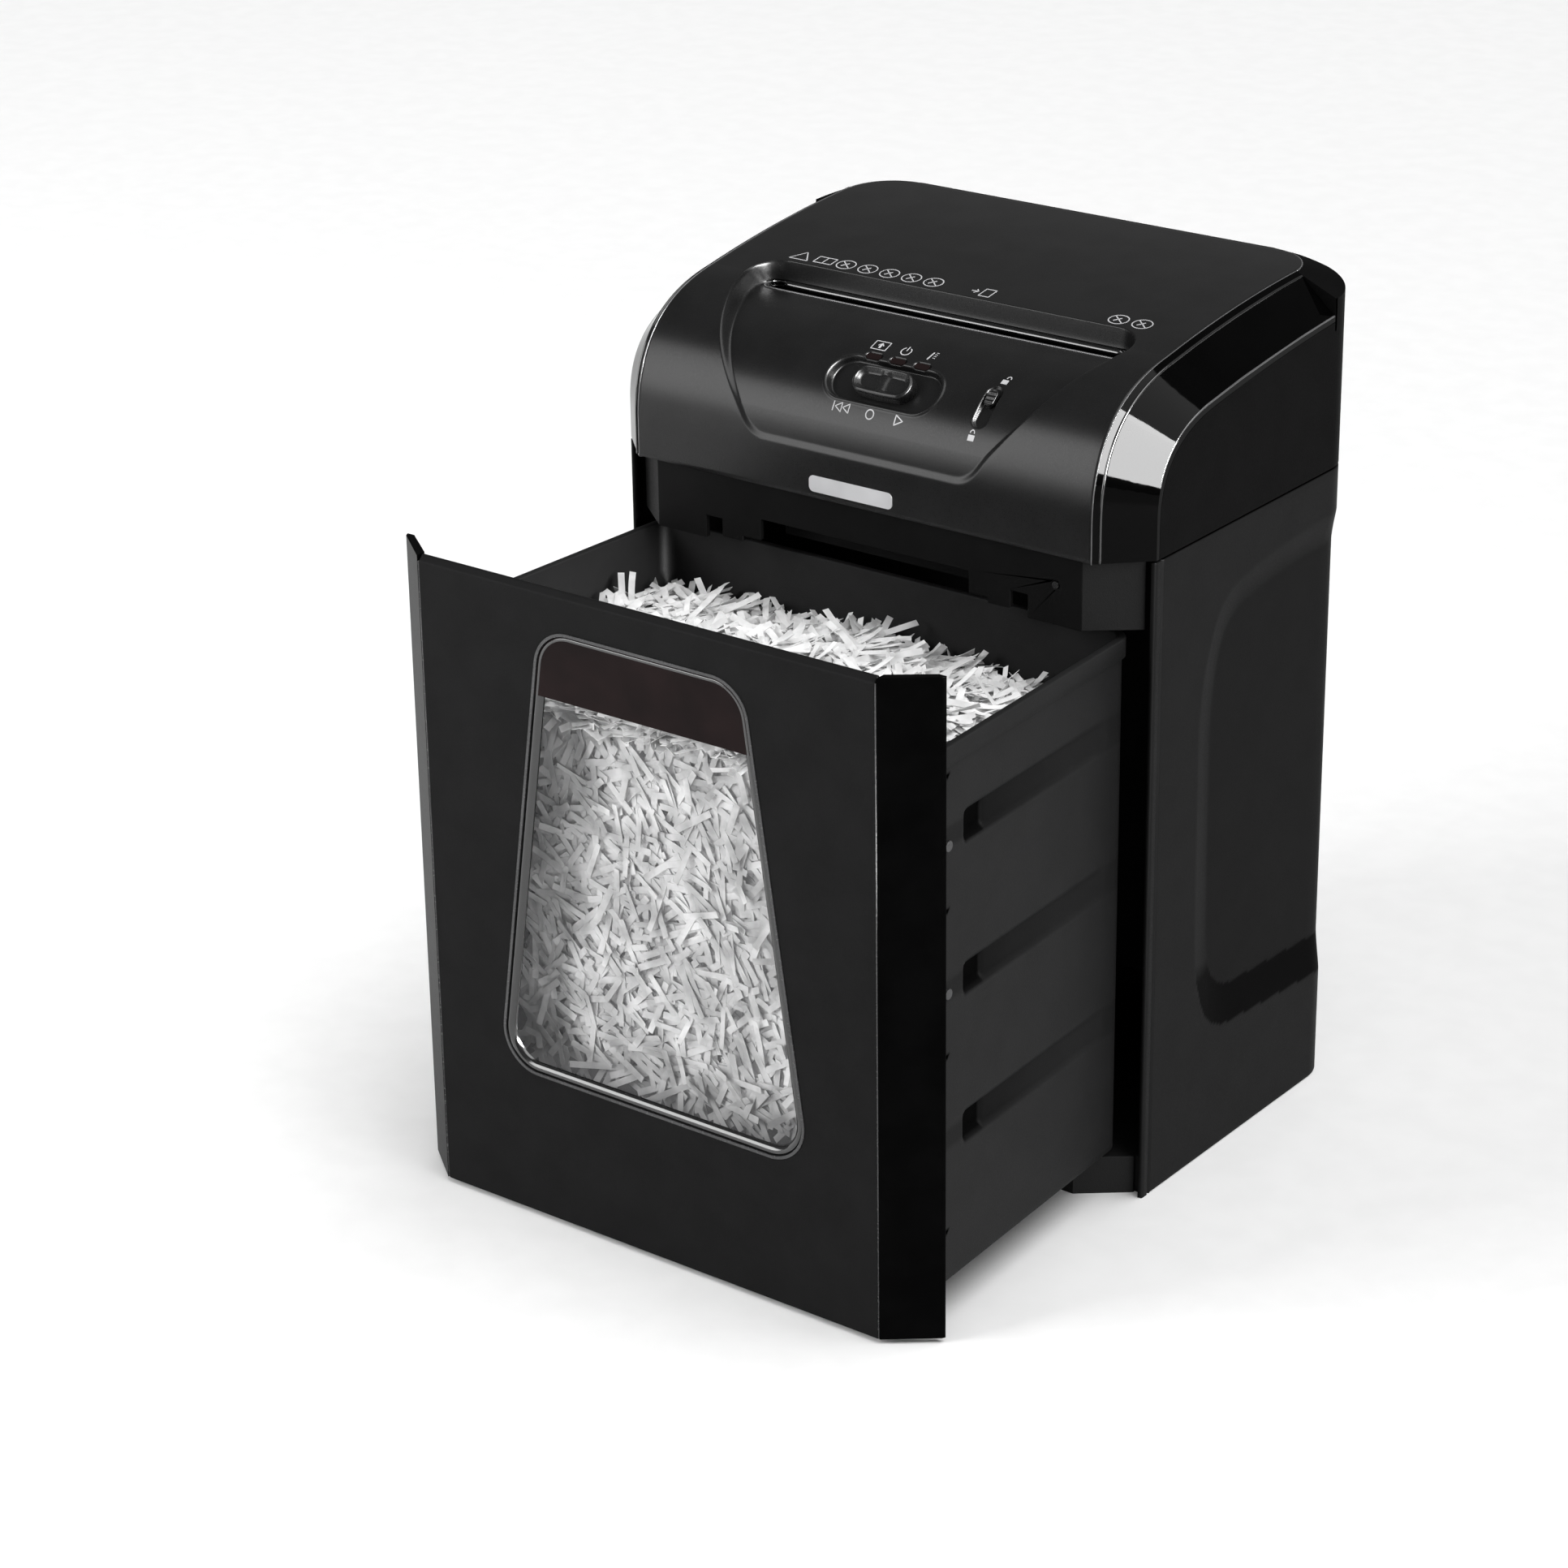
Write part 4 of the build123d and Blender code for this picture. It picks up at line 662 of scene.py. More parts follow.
def knob(length, width, centre, foot, top, shape, turned=False):
    """A round-ended slide knob on the control panel's slope; shape gives its top's height."""
    axis, out = stadium(length, width, KNOB_POINTS)
    rings = [(1.0, foot), (1.0, top - 0.9), (0.985, top - 0.35)]
    rings += [(share, None) for share in np.linspace(0.95, 0, 24)]
    points = []
    for share, level in rings:
        flat = axis + out * share * width / 2
        if level is None:
            height = top + shape(flat[:, 0], flat[:, 1], share)
        else:
            height = np.full(len(flat), level)
        x, w = (flat[:, 1], flat[:, 0]) if turned else (flat[:, 0], flat[:, 1])
        points.append(slope_point(centre[0] + x, centre[1] + w, height))
    faces = grid_faces(len(rings), KNOB_POINTS, closed=True, flip=turned)
    foot_ring = tuple(range(KNOB_POINTS))
    faces.append(foot_ring if turned else foot_ring[::-1])
    return np.vstack(points), faces


def thumb_shape(x, y, share):
    """Two thumb dimples inside a raised rim, with a ridge between them."""
    rim = 0.7 * np.exp(-((share - 0.84) / 0.06) ** 2)
    dish = -2.1 * ease((0.80 - share) / 0.35)
    ridge = 2.3 * np.exp(-(x / 1.5) ** 2) * ease((0.86 - abs(y) / 8.5) / 0.3)
    return rim + dish + ridge


def ribbed_shape(x, y, share):
    """Cross ribs on the lock's little knob."""
    return 0.45 * np.cos(x * 2.4) * ease((0.95 - share) / 0.2)


mode_mesh = knob(37, 17, (CONTROL[0], 0), -4.6, 1.6, thumb_shape)
build("mode_thumb", *mode_mesh, "knob_black", "mode_switch", ["mode_knob"], slot="satin_black")
lock_mesh = knob(10, 6, (LOCK_X, 5.0), -2.6, 0.2, ribbed_shape, turned=True)
build("lock_thumb", *lock_mesh, "knob_black", "safety_lock", ["lock_knob"], slot="satin_black")


def line_mark(path, width, closed=False):
    """A printed line on the head's surface from points given as x and distance up the slope."""
    path = np.asarray(path, float)
    if closed:
        path = np.vstack([path, path[:1]])
    dense = []
    for a, b in zip(path[:-1], path[1:]):
        n = max(2, int(np.hypot(*(b - a)) / 0.7) + 1)
        dense += [a + (b - a) * t for t in np.linspace(0, 1, n)[:-1]]
    path = np.vstack(dense + [path[-1]])
    ahead = np.vstack([path[1:], path[-1:]]) - np.vstack([path[:1], path[:-1]])
    if closed:
        ahead[0] = ahead[-1] = path[1] - path[-2]
    length = np.maximum(np.hypot(*ahead.T), 1e-9)[:, None]
    side = np.column_stack([-ahead[:, 1], ahead[:, 0]]) / length * width / 2
    points = []
    for lift in (0.03, 0.11):
        for flat in (path + side, path - side):
            points.append(slope_point(flat[:, 0], flat[:, 1], panel_height(flat[:, 0], flat[:, 1]) + lift))
    count = len(path)
    faces = []
    for i in range(count - 1):
        ring = (i, i + count, i + 3 * count, i + 2 * count)
        for j in range(4):
            a, b = ring[j], ring[(j + 1) % 4]
            faces.append((a, b, b + 1, a + 1))
    faces += [(0, 2 * count, 3 * count, count), (count - 1, 2 * count - 1, 4 * count - 1, 3 * count - 1)]
    return np.vstack(points), faces


def ring_line(x, w, rx, rw, start=0.0, stop=360.0, count=28):
    """An oval or a part of one, with angles in degrees."""
    turn = np.radians(np.linspace(start, stop, count))
    return np.column_stack([x + rx * np.cos(turn), w + rw * np.sin(turn)])


def box_line(x, w, hx, hw):
    """An oblong's corners from its middle and half sizes."""
    return [(x - hx, w - hw), (x + hx, w - hw), (x + hx, w + hw), (x - hx, w + hw)]


marks = []


def mark(*line):
    """Add one printed line to the marks."""
    marks.append(line_mark(*line))


# above the lamps: sheet in a tray, power, gauge
mark(box_line(-12.5, 23.5, 4.6, 3.2), 0.5, True)
mark([(-12.5, 21.5), (-12.5, 25.0)], 1.3)
mark([(-14.2, 23.4), (-12.5, 25.3), (-10.8, 23.4)], 0.6)
mark(ring_line(4.0, 23.2, 2.9, 2.9, 120, 420), 0.55)
mark([(4.0, 23.5), (4.0, 27.0)], 0.55)
mark([(19.0, 20.6), (19.8, 26.6)], 0.8)
for w in (22.4, 23.8, 25.2, 26.6):
    mark([(21.2, w), (22.8, w)], 0.4)
# under the mode switch: back, stop, forward
for x in (-17.2, -12.4):
    mark([(x - 1.8, -17.5), (x + 2.2, -15.1), (x + 2.2, -19.9)], 0.5, True)
mark([(-20.2, -15.0), (-20.2, -20.0)], 0.6)
mark(ring_line(3.4, -18.0, 2.4, 2.4), 0.6)
mark([(19.6, -15.4), (24.4, -18.0), (19.6, -20.6)], 0.6, True)
# beside the lock: open and closed
for x, w, hinge in ((70.8, 16.6, 1.1), (67.6, -18.4, 0.0)):
    mark([(x - 1.9, w), (x + 1.9, w)], 3.0)
    mark(ring_line(x + hinge, w + 2.4, 1.25, 1.7, 0, 180, 14), 0.55)
# behind the sunk panel: a row of plain signs, a sheet mark and two more signs
sign_w = REAR_W + 6.6
mark([(-111, sign_w - 3.6), (-99, sign_w - 3.6), (-105, sign_w + 4.2)], 0.6, True)
mark(box_line(-89.5, sign_w, 5.8, 3.0), 0.6, True)
mark([(-89.5, sign_w - 2.6), (-89.5, sign_w + 2.6)], 0.6)
for x in (-75.5, -61.0, -46.5, -32.0, -17.5, 100.0, 114.5):
    mark(ring_line(x, sign_w, 5.6, 4.3), 0.6)
    mark([(x - 3.8, sign_w + 2.9), (x + 3.8, sign_w - 2.9)], 0.6)
    mark([(x - 2.2, sign_w - 1.8), (x + 1.0, sign_w + 1.6)], 0.9)
mark(box_line(17.5, sign_w, 3.2, 3.6), 0.6, True)
mark([(7.5, sign_w), (11.5, sign_w)], 0.6)
mark([(9.8, sign_w + 1.8), (11.8, sign_w), (9.8, sign_w - 1.8)], 0.6)
build("panel_marks", *join(*marks), "print_grey", "cabinet", slot="badge_silver", smooth=False)

# ---------------- side panels

SIDE_X = high_mm("side_panel_right")[0]
PANEL_TOP_Z = high_mm("side_panel_right")[2]
SIDE_FRONT_Y = low_mm("side_panel_right")[1]
SIDE_WALL = 2.5
CORNER_R = 25.0
CORNER_FIELD_R = 7.0
# the sunk side field's outline as depth and height; it runs out past the rear
FIELD = [(400, 336), (12, 334), (-29, 323), (-50, 280), (-52, 211), (-47, 104), (-30, 78), (400, 44)]
FIELD_DEPTH = 6.0
FIELD_SHARE = 0.85


def side_plan():
    """The side panel's outer plan, front to rear: points, outward directions and how deep each may sink."""
    inner_x, edge_r = SIDE_X - SIDE_WALL, 1.2
    plan = [(inner_x, SIDE_FRONT_Y + 6, 0, -1, 0), (inner_x, SIDE_FRONT_Y, -1, 0, 0)]
    for t in np.linspace(0, math.pi / 2, 6):
        s, c = math.sin(t), math.cos(t)
        plan.append((SIDE_X - edge_r + edge_r * s, SIDE_FRONT_Y + edge_r - edge_r * c, s, -c, 0))
    plan += [(SIDE_X, SIDE_FRONT_Y + 5.4, 1, 0, 0), (SIDE_X - 1, SIDE_FRONT_Y + 5.8, 1, 0, 0),
             (SIDE_X - 1, SIDE_FRONT_Y + 7.1, 1, 0, 0), (SIDE_X, SIDE_FRONT_Y + 7.5, 1, 0, 0)]
    for y in np.arange(SIDE_FRONT_Y + 9, REAR_Y - CORNER_R, 1.5):
        plan.append((SIDE_X, y, 1, 0, FIELD_DEPTH))
    # round the corner the sunk face stays flat, then meets its own small round
    flat = CORNER_R - FIELD_DEPTH
    for t in np.linspace(0, math.pi / 2, 24):
        s, c = math.sin(t), math.cos(t)
        ray = flat / max(c, 1e-6)
        if ray * s > CORNER_FIELD_R:
            ray = CORNER_FIELD_R * s + math.sqrt((CORNER_FIELD_R * s) ** 2 + flat ** 2 - CORNER_FIELD_R ** 2)
        plan.append((SIDE_X - CORNER_R + CORNER_R * c, REAR_Y - CORNER_R + CORNER_R * s, c, s,
                     min(FIELD_DEPTH, max(0, CORNER_R - ray))))
    plan.append((low_mm("side_panel_right")[0] + 0.2, REAR_Y, 0, 1, 0))
    return np.array(plan)


def side_panel():
    """The right side panel with its sunk side field: points, faces and painted shade."""
    plan = side_plan()
    z = np.concatenate([[0, 0.4, 1.0], np.arange(3, 40, 6), np.arange(44, 346, 1.5),
                        [350, 356, 360, PANEL_TOP_Z - 0.8, PANEL_TOP_Z - 0.25, PANEL_TOP_Z]])
    edge_in = np.interp(z, [0, 0.4, 1.0, PANEL_TOP_Z - 0.8, PANEL_TOP_Z - 0.25, PANEL_TOP_Z],
                        [0.7, 0.2, 0, 0, 0.2, 0.8])
    y, zz = np.meshgrid(plan[:, 1], z)
    far = inside(y, zz, FIELD, 14.0)
    band = np.interp(zz, [60, 110], [24.0, 19.0])
    slant = np.clip((far + 5) / band, 0, 1)
    sunk = (0.75 * slant + 0.25 * ease(slant)) * plan[:, 4] * FIELD_SHARE
    move = sunk + edge_in[:, None] * (plan[:, 4] > 0)
    x = plan[:, 0] - plan[:, 2] * move
    y = plan[:, 1] - plan[:, 3] * move
    points = np.stack([x, y, zz], -1).reshape(-1, 3)
    # painted shade: the sunk field a little darker, its lower bevel darker still
    facet = np.clip((120 - zz) / 12, 0, 1) * (slant > 0.02) * (slant < 0.99)
    painted_shade = np.maximum(0.25 * slant * (plan[:, 4] > 0), 0.75 * facet * (plan[:, 4] > 0))
    return points, grid_faces(len(z), len(plan)), painted_shade.ravel()


side_points, side_faces, side_painted_shade = side_panel()
for word, mesh in (("right", (side_points, side_faces)), ("left", mirrored(side_points, side_faces))):
    panel = build("side_shell_" + word, *mesh, "side_black", "cabinet", ["side_panel_" + word],
                  slot="matte_black", thickness=1.5)
    set_painted_shade(panel, side_painted_shade)

# ---------------- bin tub

TUB_LOW, TUB_TOP = low_mm("bin_tub")[2], high_mm("bin_tub")[2]
TUB_FRONT_Y, TUB_REAR_Y = low_mm("bin_tub")[1], high_mm("bin_tub")[1]
TUB_PLAN = [(104.0, TUB_FRONT_Y), (141.5, TUB_FRONT_Y), (163.6, TUB_FRONT_Y + 18.5), (154.0, TUB_REAR_Y)]
TUB_CORNER_R = 12.0
TUB_INSET = 2.0
# heights of the grooves and clips, and the depths where a groove starts and ends
GROOVES = (106.0, 189.0, 272.0)
GROOVE_Y = (-250.0, -115.0)
CLIPS = (51.0, 150.0, 230.0, 302.0)


def tub_plan():
    """Half of the tub's outer plan, from beside the window to the rear: points and outward directions."""
    points, normals = [], []
    for (ax, ay), (bx, by), step in zip(TUB_PLAN, TUB_PLAN[1:], (6.0, 1.5, 1.3)):
        n = np.array([by - ay, ax - bx])
        n = n / np.linalg.norm(n)
        length = math.hypot(bx - ax, by - ay)
        stop = length - (TUB_CORNER_R if (bx, by) == TUB_PLAN[-1] else 0.0)
        for s in np.arange(0, stop, step):
            points.append((ax + (bx - ax) * s / length, ay + (by - ay) * s / length))
            normals.append(n)
    start = math.atan2(normals[-1][1], normals[-1][0])
    centre = np.array(points[-1]) - normals[-1] * TUB_CORNER_R
    centre[1] = TUB_REAR_Y - TUB_CORNER_R
    for t in np.linspace(start, math.pi / 2, 12):
        normals.append(np.array([math.cos(t), math.sin(t)]))
        points.append(tuple(centre + normals[-1] * TUB_CORNER_R))
    for x in np.linspace(points[-1][0] - 8, 0, 14):
        points.append((x, TUB_REAR_Y))
        normals.append(np.array([0.0, 1.0]))
    return np.array(points), np.array(normals)


def groove_depth(plan, out, level):
    """How deep the grooves are at a height, at each point of the plan: deepest at their front ends."""
    from_front = plan[:, 1] - GROOVE_Y[0]
    start = ease((from_front + 3) / 5.0) * (abs(out[:, 0]) > 0.9)
    fade = np.clip((GROOVE_Y[1] - plan[:, 1]) / (GROOVE_Y[1] - GROOVE_Y[0]), 0, 1) ** 0.6
    sunk = 0.0
    for middle in GROOVES:
        off = abs(level - middle)
        band = ease((9.5 - off) / 2.5)
        step = 1.5 * ease((7.5 - off) / 2.0) * ease((20 - from_front) / 4.0)
        sunk = sunk + (band * fade * 3.0 + step) * start
    return sunk


def tub_mesh():
    """The tub: outer wall with grooves, rolled rim, inner wall and floor."""
    plan, out = tub_plan()
    plan = np.vstack([plan, plan[:-1][::-1] * (-1, 1)])
    out = np.vstack([out, out[:-1][::-1] * (-1, 1)])
    heights = np.append(np.arange(TUB_LOW + 4, TUB_TOP - 12.5, 1.6), TUB_TOP - 11.5)
    section = [(2.6, TUB_LOW), (TUB_INSET, TUB_LOW + 1)] + [(TUB_INSET, z) for z in heights]
    section += [(TUB_INSET, TUB_TOP - 11.2), (0.3, TUB_TOP - 10.9), (0.0, TUB_TOP - 10.6), (0.0, TUB_TOP - 0.9),
                (0.25, TUB_TOP - 0.3), (0.9, TUB_TOP), (3.6, TUB_TOP), (4.2, TUB_TOP - 0.3),
                (4.5, TUB_TOP - 0.9), (4.5, 292.0), (8.2, 288.0), (8.2, TUB_LOW + 2.5)]
    rows = []
    for inset, level in section:
        sunk = groove_depth(plan, out, level) if inset == TUB_INSET else np.zeros(len(plan))
        rows.append(np.column_stack([plan - out * (inset + sunk)[:, None], np.full(len(plan), level)]))
    faces = grid_faces(len(rows), len(plan))
    # the floor: a slab between the skins
    count = len(plan)
    base = len(rows) * count
    for level in (TUB_LOW, TUB_LOW + 2.5):
        rows.append(np.column_stack([plan - out * 4.0, np.full(count, level)]))
    faces.append(tuple(range(base, base + count))[::-1])
    faces.append(tuple(range(base + count, base + 2 * count)))
    return np.vstack(rows), faces


def tub_painted_shade(points):
    """The painted shade on the tub's outside: darker along its grooves, deepest at their front ends, and in the
    notches of its clips.
    """
    y, z = points[:, 1], points[:, 2]
    painted_shade = np.zeros(len(points))
    for middle in GROOVES:
        band = ease((10.0 - abs(z - middle)) / 2.0) * ease((y - GROOVE_Y[0] + 2) / 3.0)
        along = np.clip((y - GROOVE_Y[0]) / (GROOVE_Y[1] - GROOVE_Y[0]), 0, 1)
        painted_shade = np.maximum(painted_shade, band * np.where(along < 0.13, 0.92, 0.72 * (1 - 0.8 * along)))
        painted_shade = np.maximum(painted_shade, 0.3 * ease((7.0 - abs(z - middle)) / 3.0) * (y < GROOVE_Y[0]))
    for middle in CLIPS:
        reach = y - (TUB_FRONT_Y + 27.0)
        painted_shade = np.maximum(painted_shade, (reach < 8.0) & (abs(z - middle - 0.5 * reach) < 4.0 - reach * 0.45))
    return painted_shade * (abs(points[:, 0]) > 145) * (z < TUB_TOP - 11)


tub_points, tub_faces = tub_mesh()
tub = build("bin_tub_shell", tub_points, tub_faces, "tub_black", "bin", ["bin_tub"], slot="matte_black")
set_painted_shade(tub, tub_painted_shade(tub_points))

# ---------------- window rim, front lines and shroud recess

PANEL_FRONT_Y, PANEL_LOW_Z = low_mm("bin_front")[1:]
PANEL_X, _, PANEL_HIGH_Z = high_mm("bin_front")
WINDOW = [(-101.0, 87.5), (101.0, 87.5), (64.0, 341.0), (-64.0, 341.0)]
WINDOW_R = 21.0


def window_line(grow):
    """The window's round-cornered outline, moved outwards by grow, as x and z."""
    line = []
    for i, corner in enumerate(WINDOW):
        before, after = np.array(WINDOW[i - 1]), np.array(WINDOW[(i + 1) % 4])
        a, b = np.array(corner) - before, after - np.array(corner)
        a, b = a / np.linalg.norm(a), b / np.linalg.norm(b)
        half = math.acos(-a.dot(b)) / 2
        centre = corner + (b - a) / np.linalg.norm(b - a) * WINDOW_R / math.sin(half)
        start, stop = math.atan2(-a[0], a[1]), math.atan2(-b[0], b[1])
        if stop < start:
            stop += 2 * math.pi
        for t in np.linspace(start, stop, 14):
            line.append(centre + (WINDOW_R + grow) * np.array([math.cos(t), math.sin(t)]))
    return np.array(line)


# the rim's section: how far it grows into the window and how far it lies behind the panel's face
RIM_SECTION = ((-0.1, 1.4), (-0.3, 0.5), (-1.0, 0.1), (-2.0, 0.1), (-3.2, 0.6), (-4.3, 1.7), (-4.8, 3.0))
rim_rows = []
for grow, back in RIM_SECTION:
    edge_line = window_line(grow)
    level = np.full(len(edge_line), PANEL_FRONT_Y + back)
    rim_rows.append(np.column_stack([edge_line[:, 0], level, edge_line[:, 1]]))
rim_faces = grid_faces(len(rim_rows), len(rim_rows[0]), closed=True)
build("window_rim", np.vstack(rim_rows), rim_faces, "lip_black", "bin", slot="gloss_black")
# light grey bars on the bin front's side edges: painted highlights
for side, word in SIDES:
    x, y = side * (PANEL_X + 0.2), PANEL_FRONT_Y + 0.5
    bar = [(x, y, PANEL_LOW_Z + 1), (x, y, PANEL_HIGH_Z - 3)]
    build("front_line_" + word, *sweep(bar, 0.5), "line_grey", "bin", slot="gloss_black")

NOTCH_X = 69.0
NOTCH_Z = (329.0, 345.0)
NOTCH_BACK_Y = low_mm("lower_shroud")[1] + 23.5
slab = [(x, y, z) for y in (NOTCH_BACK_Y, NOTCH_BACK_Y + 2) for z in NOTCH_Z for x in (-NOTCH_X, NOTCH_X)]
slab_faces = [(0, 1, 3, 2), (5, 4, 6, 7), (4, 0, 2, 6), (1, 5, 7, 3), (2, 3, 7, 6), (4, 5, 1, 0)]
build("shroud_recess", slab, slab_faces, "shroud_black", "cabinet", slot="matte_black", smooth=False)

# ---------------- shredded paper

STRIP_HALF = 1.8
STRIP_THICK = 0.09


def strips(count, place):
    """Paper strips as thin curled bands: place gives each one's middle, direction, face and curl."""
    segments = 9
    points, faces = [], []
    for _ in range(count):
        middle, along, face, length, curl, twist, hook = place()
        side = np.cross(face, along)
        t = np.linspace(-0.5, 0.5, segments + 1)
        bend = curl * abs(2 * t + rng.uniform(-0.3, 0.3)) ** hook
        turn = twist * t
        centre = middle + np.outer(t * length, along) + np.outer(bend, face)
        across_dir = np.cos(turn)[:, None] * side + np.sin(turn)[:, None] * face
        up_dir = np.cos(turn)[:, None] * face - np.sin(turn)[:, None] * side
        half = STRIP_HALF * across_dir
        thick = STRIP_THICK * up_dir
        base = len(points)
        ring = np.stack([centre - half - thick, centre + half - thick, centre + half + thick,
                         centre - half + thick], 1)
        points.extend(ring.reshape(-1, 3))
        for i in range(segments):
            for j in range(4):
                a, b = base + i * 4 + j, base + i * 4 + (j + 1) % 4
                faces.append((a, b, b + 4, a + 4))
        faces.append((base + 3, base + 2, base + 1, base))
        last = base + segments * 4
        faces.append((last, last + 1, last + 2, last + 3))
    return np.array(points), faces


def unit(v):
    """The same direction with length 1."""
    v = np.asarray(v, float)
    return v / np.linalg.norm(v)


HEAP_FRONT_Y, HEAP_REAR_Y = low_mm("shredded_paper")[1], high_mm("shredded_paper")[1]
TRAY_BACK_Y = high_mm("window_tray")[1]
# strips at the window stay below the handle's pocket
FILL_TOP_Z = 323.0


def heap_z(x, y):
    """The heap's top: mounded in the middle, with lumps."""
    t = (y - HEAP_FRONT_Y) / (HEAP_REAR_Y - HEAP_FRONT_Y)
    lumps = 3.0 * math.sin(x / 19.0 + 1.1) * math.cos(y / 23.0) + 2.0 * math.sin(x / 8.5 + y / 11.0)
    return 281.0 + 20.0 * math.sin(math.pi * min(max(0.15 + 0.8 * t, 0), 1)) + lumps - 0.0004 * x * x


def room(y, low=0.0):
    """Half the width between the tub's walls at a depth, less a strip's reach."""
    return float(np.interp(y, [TUB_FRONT_Y, TUB_FRONT_Y + 18.5, TUB_REAR_Y], [133.0, 154.0, 144.5])) - low


def top_strip():
    """One loose strip on the heap's top."""
    y = rng.uniform(HEAP_FRONT_Y + 8, HEAP_REAR_Y - 8)
    x = rng.uniform(-1, 1) * room(y, 9.0)
    level = heap_z(x, y) - abs(rng.normal(0, 6.0)) + 3.0
    yaw = rng.uniform(0, math.pi)
    pitch = rng.normal(0, 0.14)
    along = unit((math.cos(yaw) * math.cos(pitch), math.sin(yaw) * math.cos(pitch), math.sin(pitch)))
    tip = rng.normal(0, 0.45)
    side = unit(np.cross((0, 0, 1), along))
    face = unit(np.cross(along, side) * math.cos(tip) + side * math.sin(tip))
    length = rng.uniform(34, 60)
    reach = abs(along) * length / 2 + 3.0
    x = float(np.clip(x, -room(y, reach[0]), room(y, reach[0])))
    y = float(np.clip(y, HEAP_FRONT_Y + reach[1] + 1, HEAP_REAR_Y - reach[1] + 2))
    return (np.array([x, y, level]), along, face, length, rng.uniform(-1.2, 2.2), rng.normal(0, 0.7), 4)


def window_strip():
    """One strip pressed against the window."""
    z = rng.uniform(84, 318)
    half = np.interp(z, [WINDOW[1][1], WINDOW[2][1]], [WINDOW[1][0] + 12, WINDOW[2][0] + 14])
    x = rng.uniform(-half, half)
    y = TRAY_BACK_Y + 1.6 + abs(rng.normal(0, 4.2))
    roll = rng.uniform(0, math.pi)
    along = unit((math.cos(roll), rng.normal(0, 0.10), math.sin(roll)))
    face = unit((rng.normal(0, 0.13), -1, rng.normal(0, 0.13)))
    face = unit(face - along * face.dot(along))
    length = rng.uniform(30, 52)
    z = min(z, FILL_TOP_Z - abs(along[2]) * length / 2)
    return (np.array([x, y, z]), along, face, length, rng.uniform(-0.8, 1.6), rng.normal(0, 0.2), 2)


TOP_COUNT, WINDOW_COUNT = 3000, 2500


def core_block():
    """The heap's inside behind the strips: a dark block, painted shade in the gaps between them."""
    xs, ys = np.linspace(-148, 148, 60), np.linspace(TRAY_BACK_Y + 7, HEAP_REAR_Y - 3, 40)
    top = np.array([(x, y, heap_z(x, y) - 9.0 + rng.uniform(-1.5, 1.5)) for y in ys for x in xs])
    faces = grid_faces(len(ys), len(xs))
    bottom = top.copy()
    bottom[:, 2] = TUB_LOW + 3.5
    points = np.vstack([top, bottom])
    base = len(top)
    border = (list(range(len(xs))) + [i * len(xs) + len(xs) - 1 for i in range(1, len(ys))]
              + [(len(ys) - 1) * len(xs) + j for j in range(len(xs) - 2, -1, -1)]
              + [i * len(xs) for i in range(len(ys) - 2, 0, -1)])
    for a, b in zip(border, border[1:] + border[:1]):
        faces.append((b, a, a + base, b + base))
    faces.append(tuple(i + base for i in border)[::-1])
    return points, faces


# the heap's dark inside: painted shade behind the strips
build("paper_core", *core_block(), "paper_core", "bin", slot="paper")
window_mesh = strips(WINDOW_COUNT, window_strip)
# the strips at the window take the darker copy of the paper: painted shade
build("paper_strips_window", *window_mesh, "paper_shaded", "bin", slot="paper", smooth=False)
build("paper_strips_top", *strips(TOP_COUNT, top_strip), "paper", "bin", ["shredded_paper"], smooth=False)

# ---------------- softened edges on the flat-sided mouldings

# bevel widths
SOFT_EDGES = {"bin_front": 0.7, "bin_trim_right": 0.9, "bin_trim_left": 0.9, "lower_shroud": 0.5,
              "base_plinth": 0.5, "handle_plate": 0.3, "name_badge": 0.12}
for name, width in SOFT_EDGES.items():
    weld = NODES[name].modifiers.new("weld", "WELD")
    weld.merge_threshold = 0.00001
    bevel = NODES[name].modifiers.new("soft_edges", "BEVEL")
    bevel.width = width * MM
    bevel.segments = 3
    bevel.limit_method = "ANGLE"
    bevel.angle_limit = math.radians(35)

# ---------------- camera, light and floor

CAMERA = {"azimuth": 37.575, "elevation": 22.914, "distance": 2179.43, "roll": -0.850,
          "target": (5.064, -194.571, 258.720), "lens": 96.14, "shift": (0.0004, -0.0263)}


def aim(azimuth, elevation, roll):
    """A camera's three axes from where it stands and how far it leans."""
    az, el, r = (math.radians(v) for v in (azimuth, elevation, roll))
    back = Vector((math.sin(az) * math.cos(el), -math.cos(az) * math.cos(el), math.sin(el)))
    right = (-back).cross(Vector((0, 0, 1))).normalized()
    up = right.cross(-back)
    return back, math.cos(r) * right + math.sin(r) * up, math.cos(r) * up - math.sin(r) * right


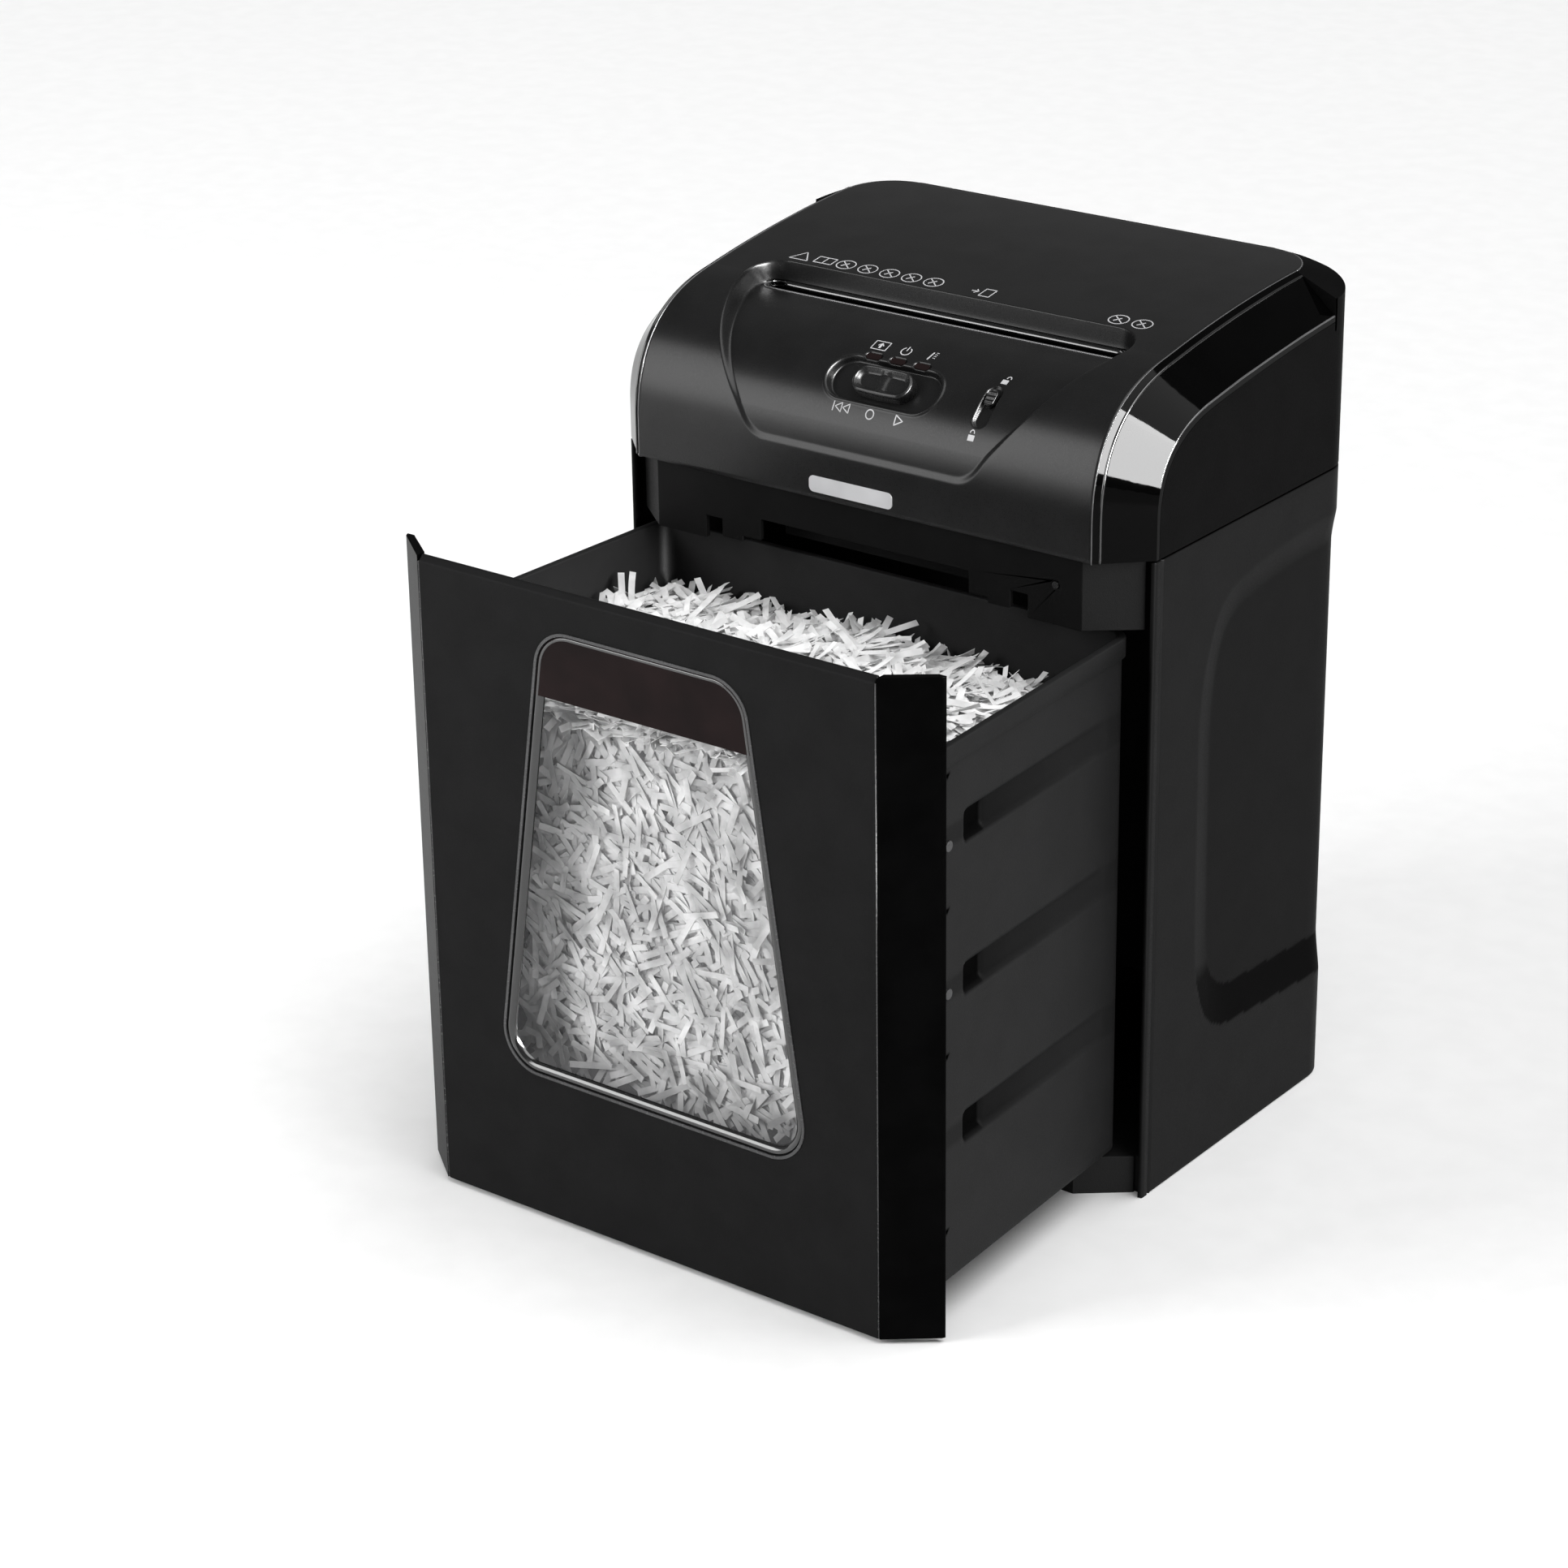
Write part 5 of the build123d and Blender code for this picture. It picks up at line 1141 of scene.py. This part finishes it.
back, right, up = aim(CAMERA["azimuth"], CAMERA["elevation"], CAMERA["roll"])
camera_data = bpy.data.cameras.new("camera")
camera_data.sensor_width = 36
camera_data.lens = CAMERA["lens"]
camera_data.shift_x, camera_data.shift_y = CAMERA["shift"]
camera_data.clip_end = 100
camera = bpy.data.objects.new("camera", camera_data)
bpy.context.scene.collection.objects.link(camera)
place = Matrix((right, up, back)).transposed().to_4x4()
place.translation = (Vector(CAMERA["target"]) + back * CAMERA["distance"]) * MM
camera.matrix_world = place
bpy.context.scene.camera = camera
bpy.context.scene.view_settings.view_transform = "Standard"


def softbox(name, position, target, size, watts, roll=0.0):
    """A rectangular studio light that faces a point; both points in metres."""
    data = bpy.data.lights.new(name, "AREA")
    data.shape = "RECTANGLE"
    data.size, data.size_y = size
    data.energy = watts
    lamp = bpy.data.objects.new(name, data)
    bpy.context.scene.collection.objects.link(lamp)
    lamp.location = position
    lamp.rotation_mode = "QUATERNION"
    facing = (Vector(target) - Vector(position)).to_track_quat("-Z", "Y")
    lamp.rotation_quaternion = facing @ Quaternion((0, 0, 1), math.radians(roll))
    return lamp


world = bpy.data.worlds.new("studio")
world.use_nodes = True
world.node_tree.nodes["Background"].inputs["Color"].default_value = (1, 1, 1, 1)
world.node_tree.nodes["Background"].inputs["Strength"].default_value = 0.20
bpy.context.scene.world = world
sun_data = bpy.data.lights.new("overhead", "SUN")
sun_data.energy = 2.8
sun_data.angle = math.radians(60)
overhead = bpy.data.objects.new("overhead", sun_data)
bpy.context.scene.collection.objects.link(overhead)
overhead.rotation_euler = (math.radians(-6), math.radians(20), 0)
key_right = softbox("key_right", (2.37, -0.69, 1.44), (0.16, -0.1, 0.42), (1.0, 2.3), 900, -43)
key_right.visible_diffuse = False
softbox("fill_left", (-1.42, -2.05, 1.18), (0, -0.1, 0.40), (1.4, 1.75), 57)

bpy.ops.mesh.primitive_grid_add(x_subdivisions=8, y_subdivisions=8, size=40, location=(0, 0, 0))
floor = bpy.context.object
floor.name = "floor"
floor_pale = moulded("floor_pale", grey(0.84, 1.0), grey(0.86, 1.0), (0.85, 0.95), 20.0, 0.00001, 0.1)
floor.data.materials.append(floor_pale)
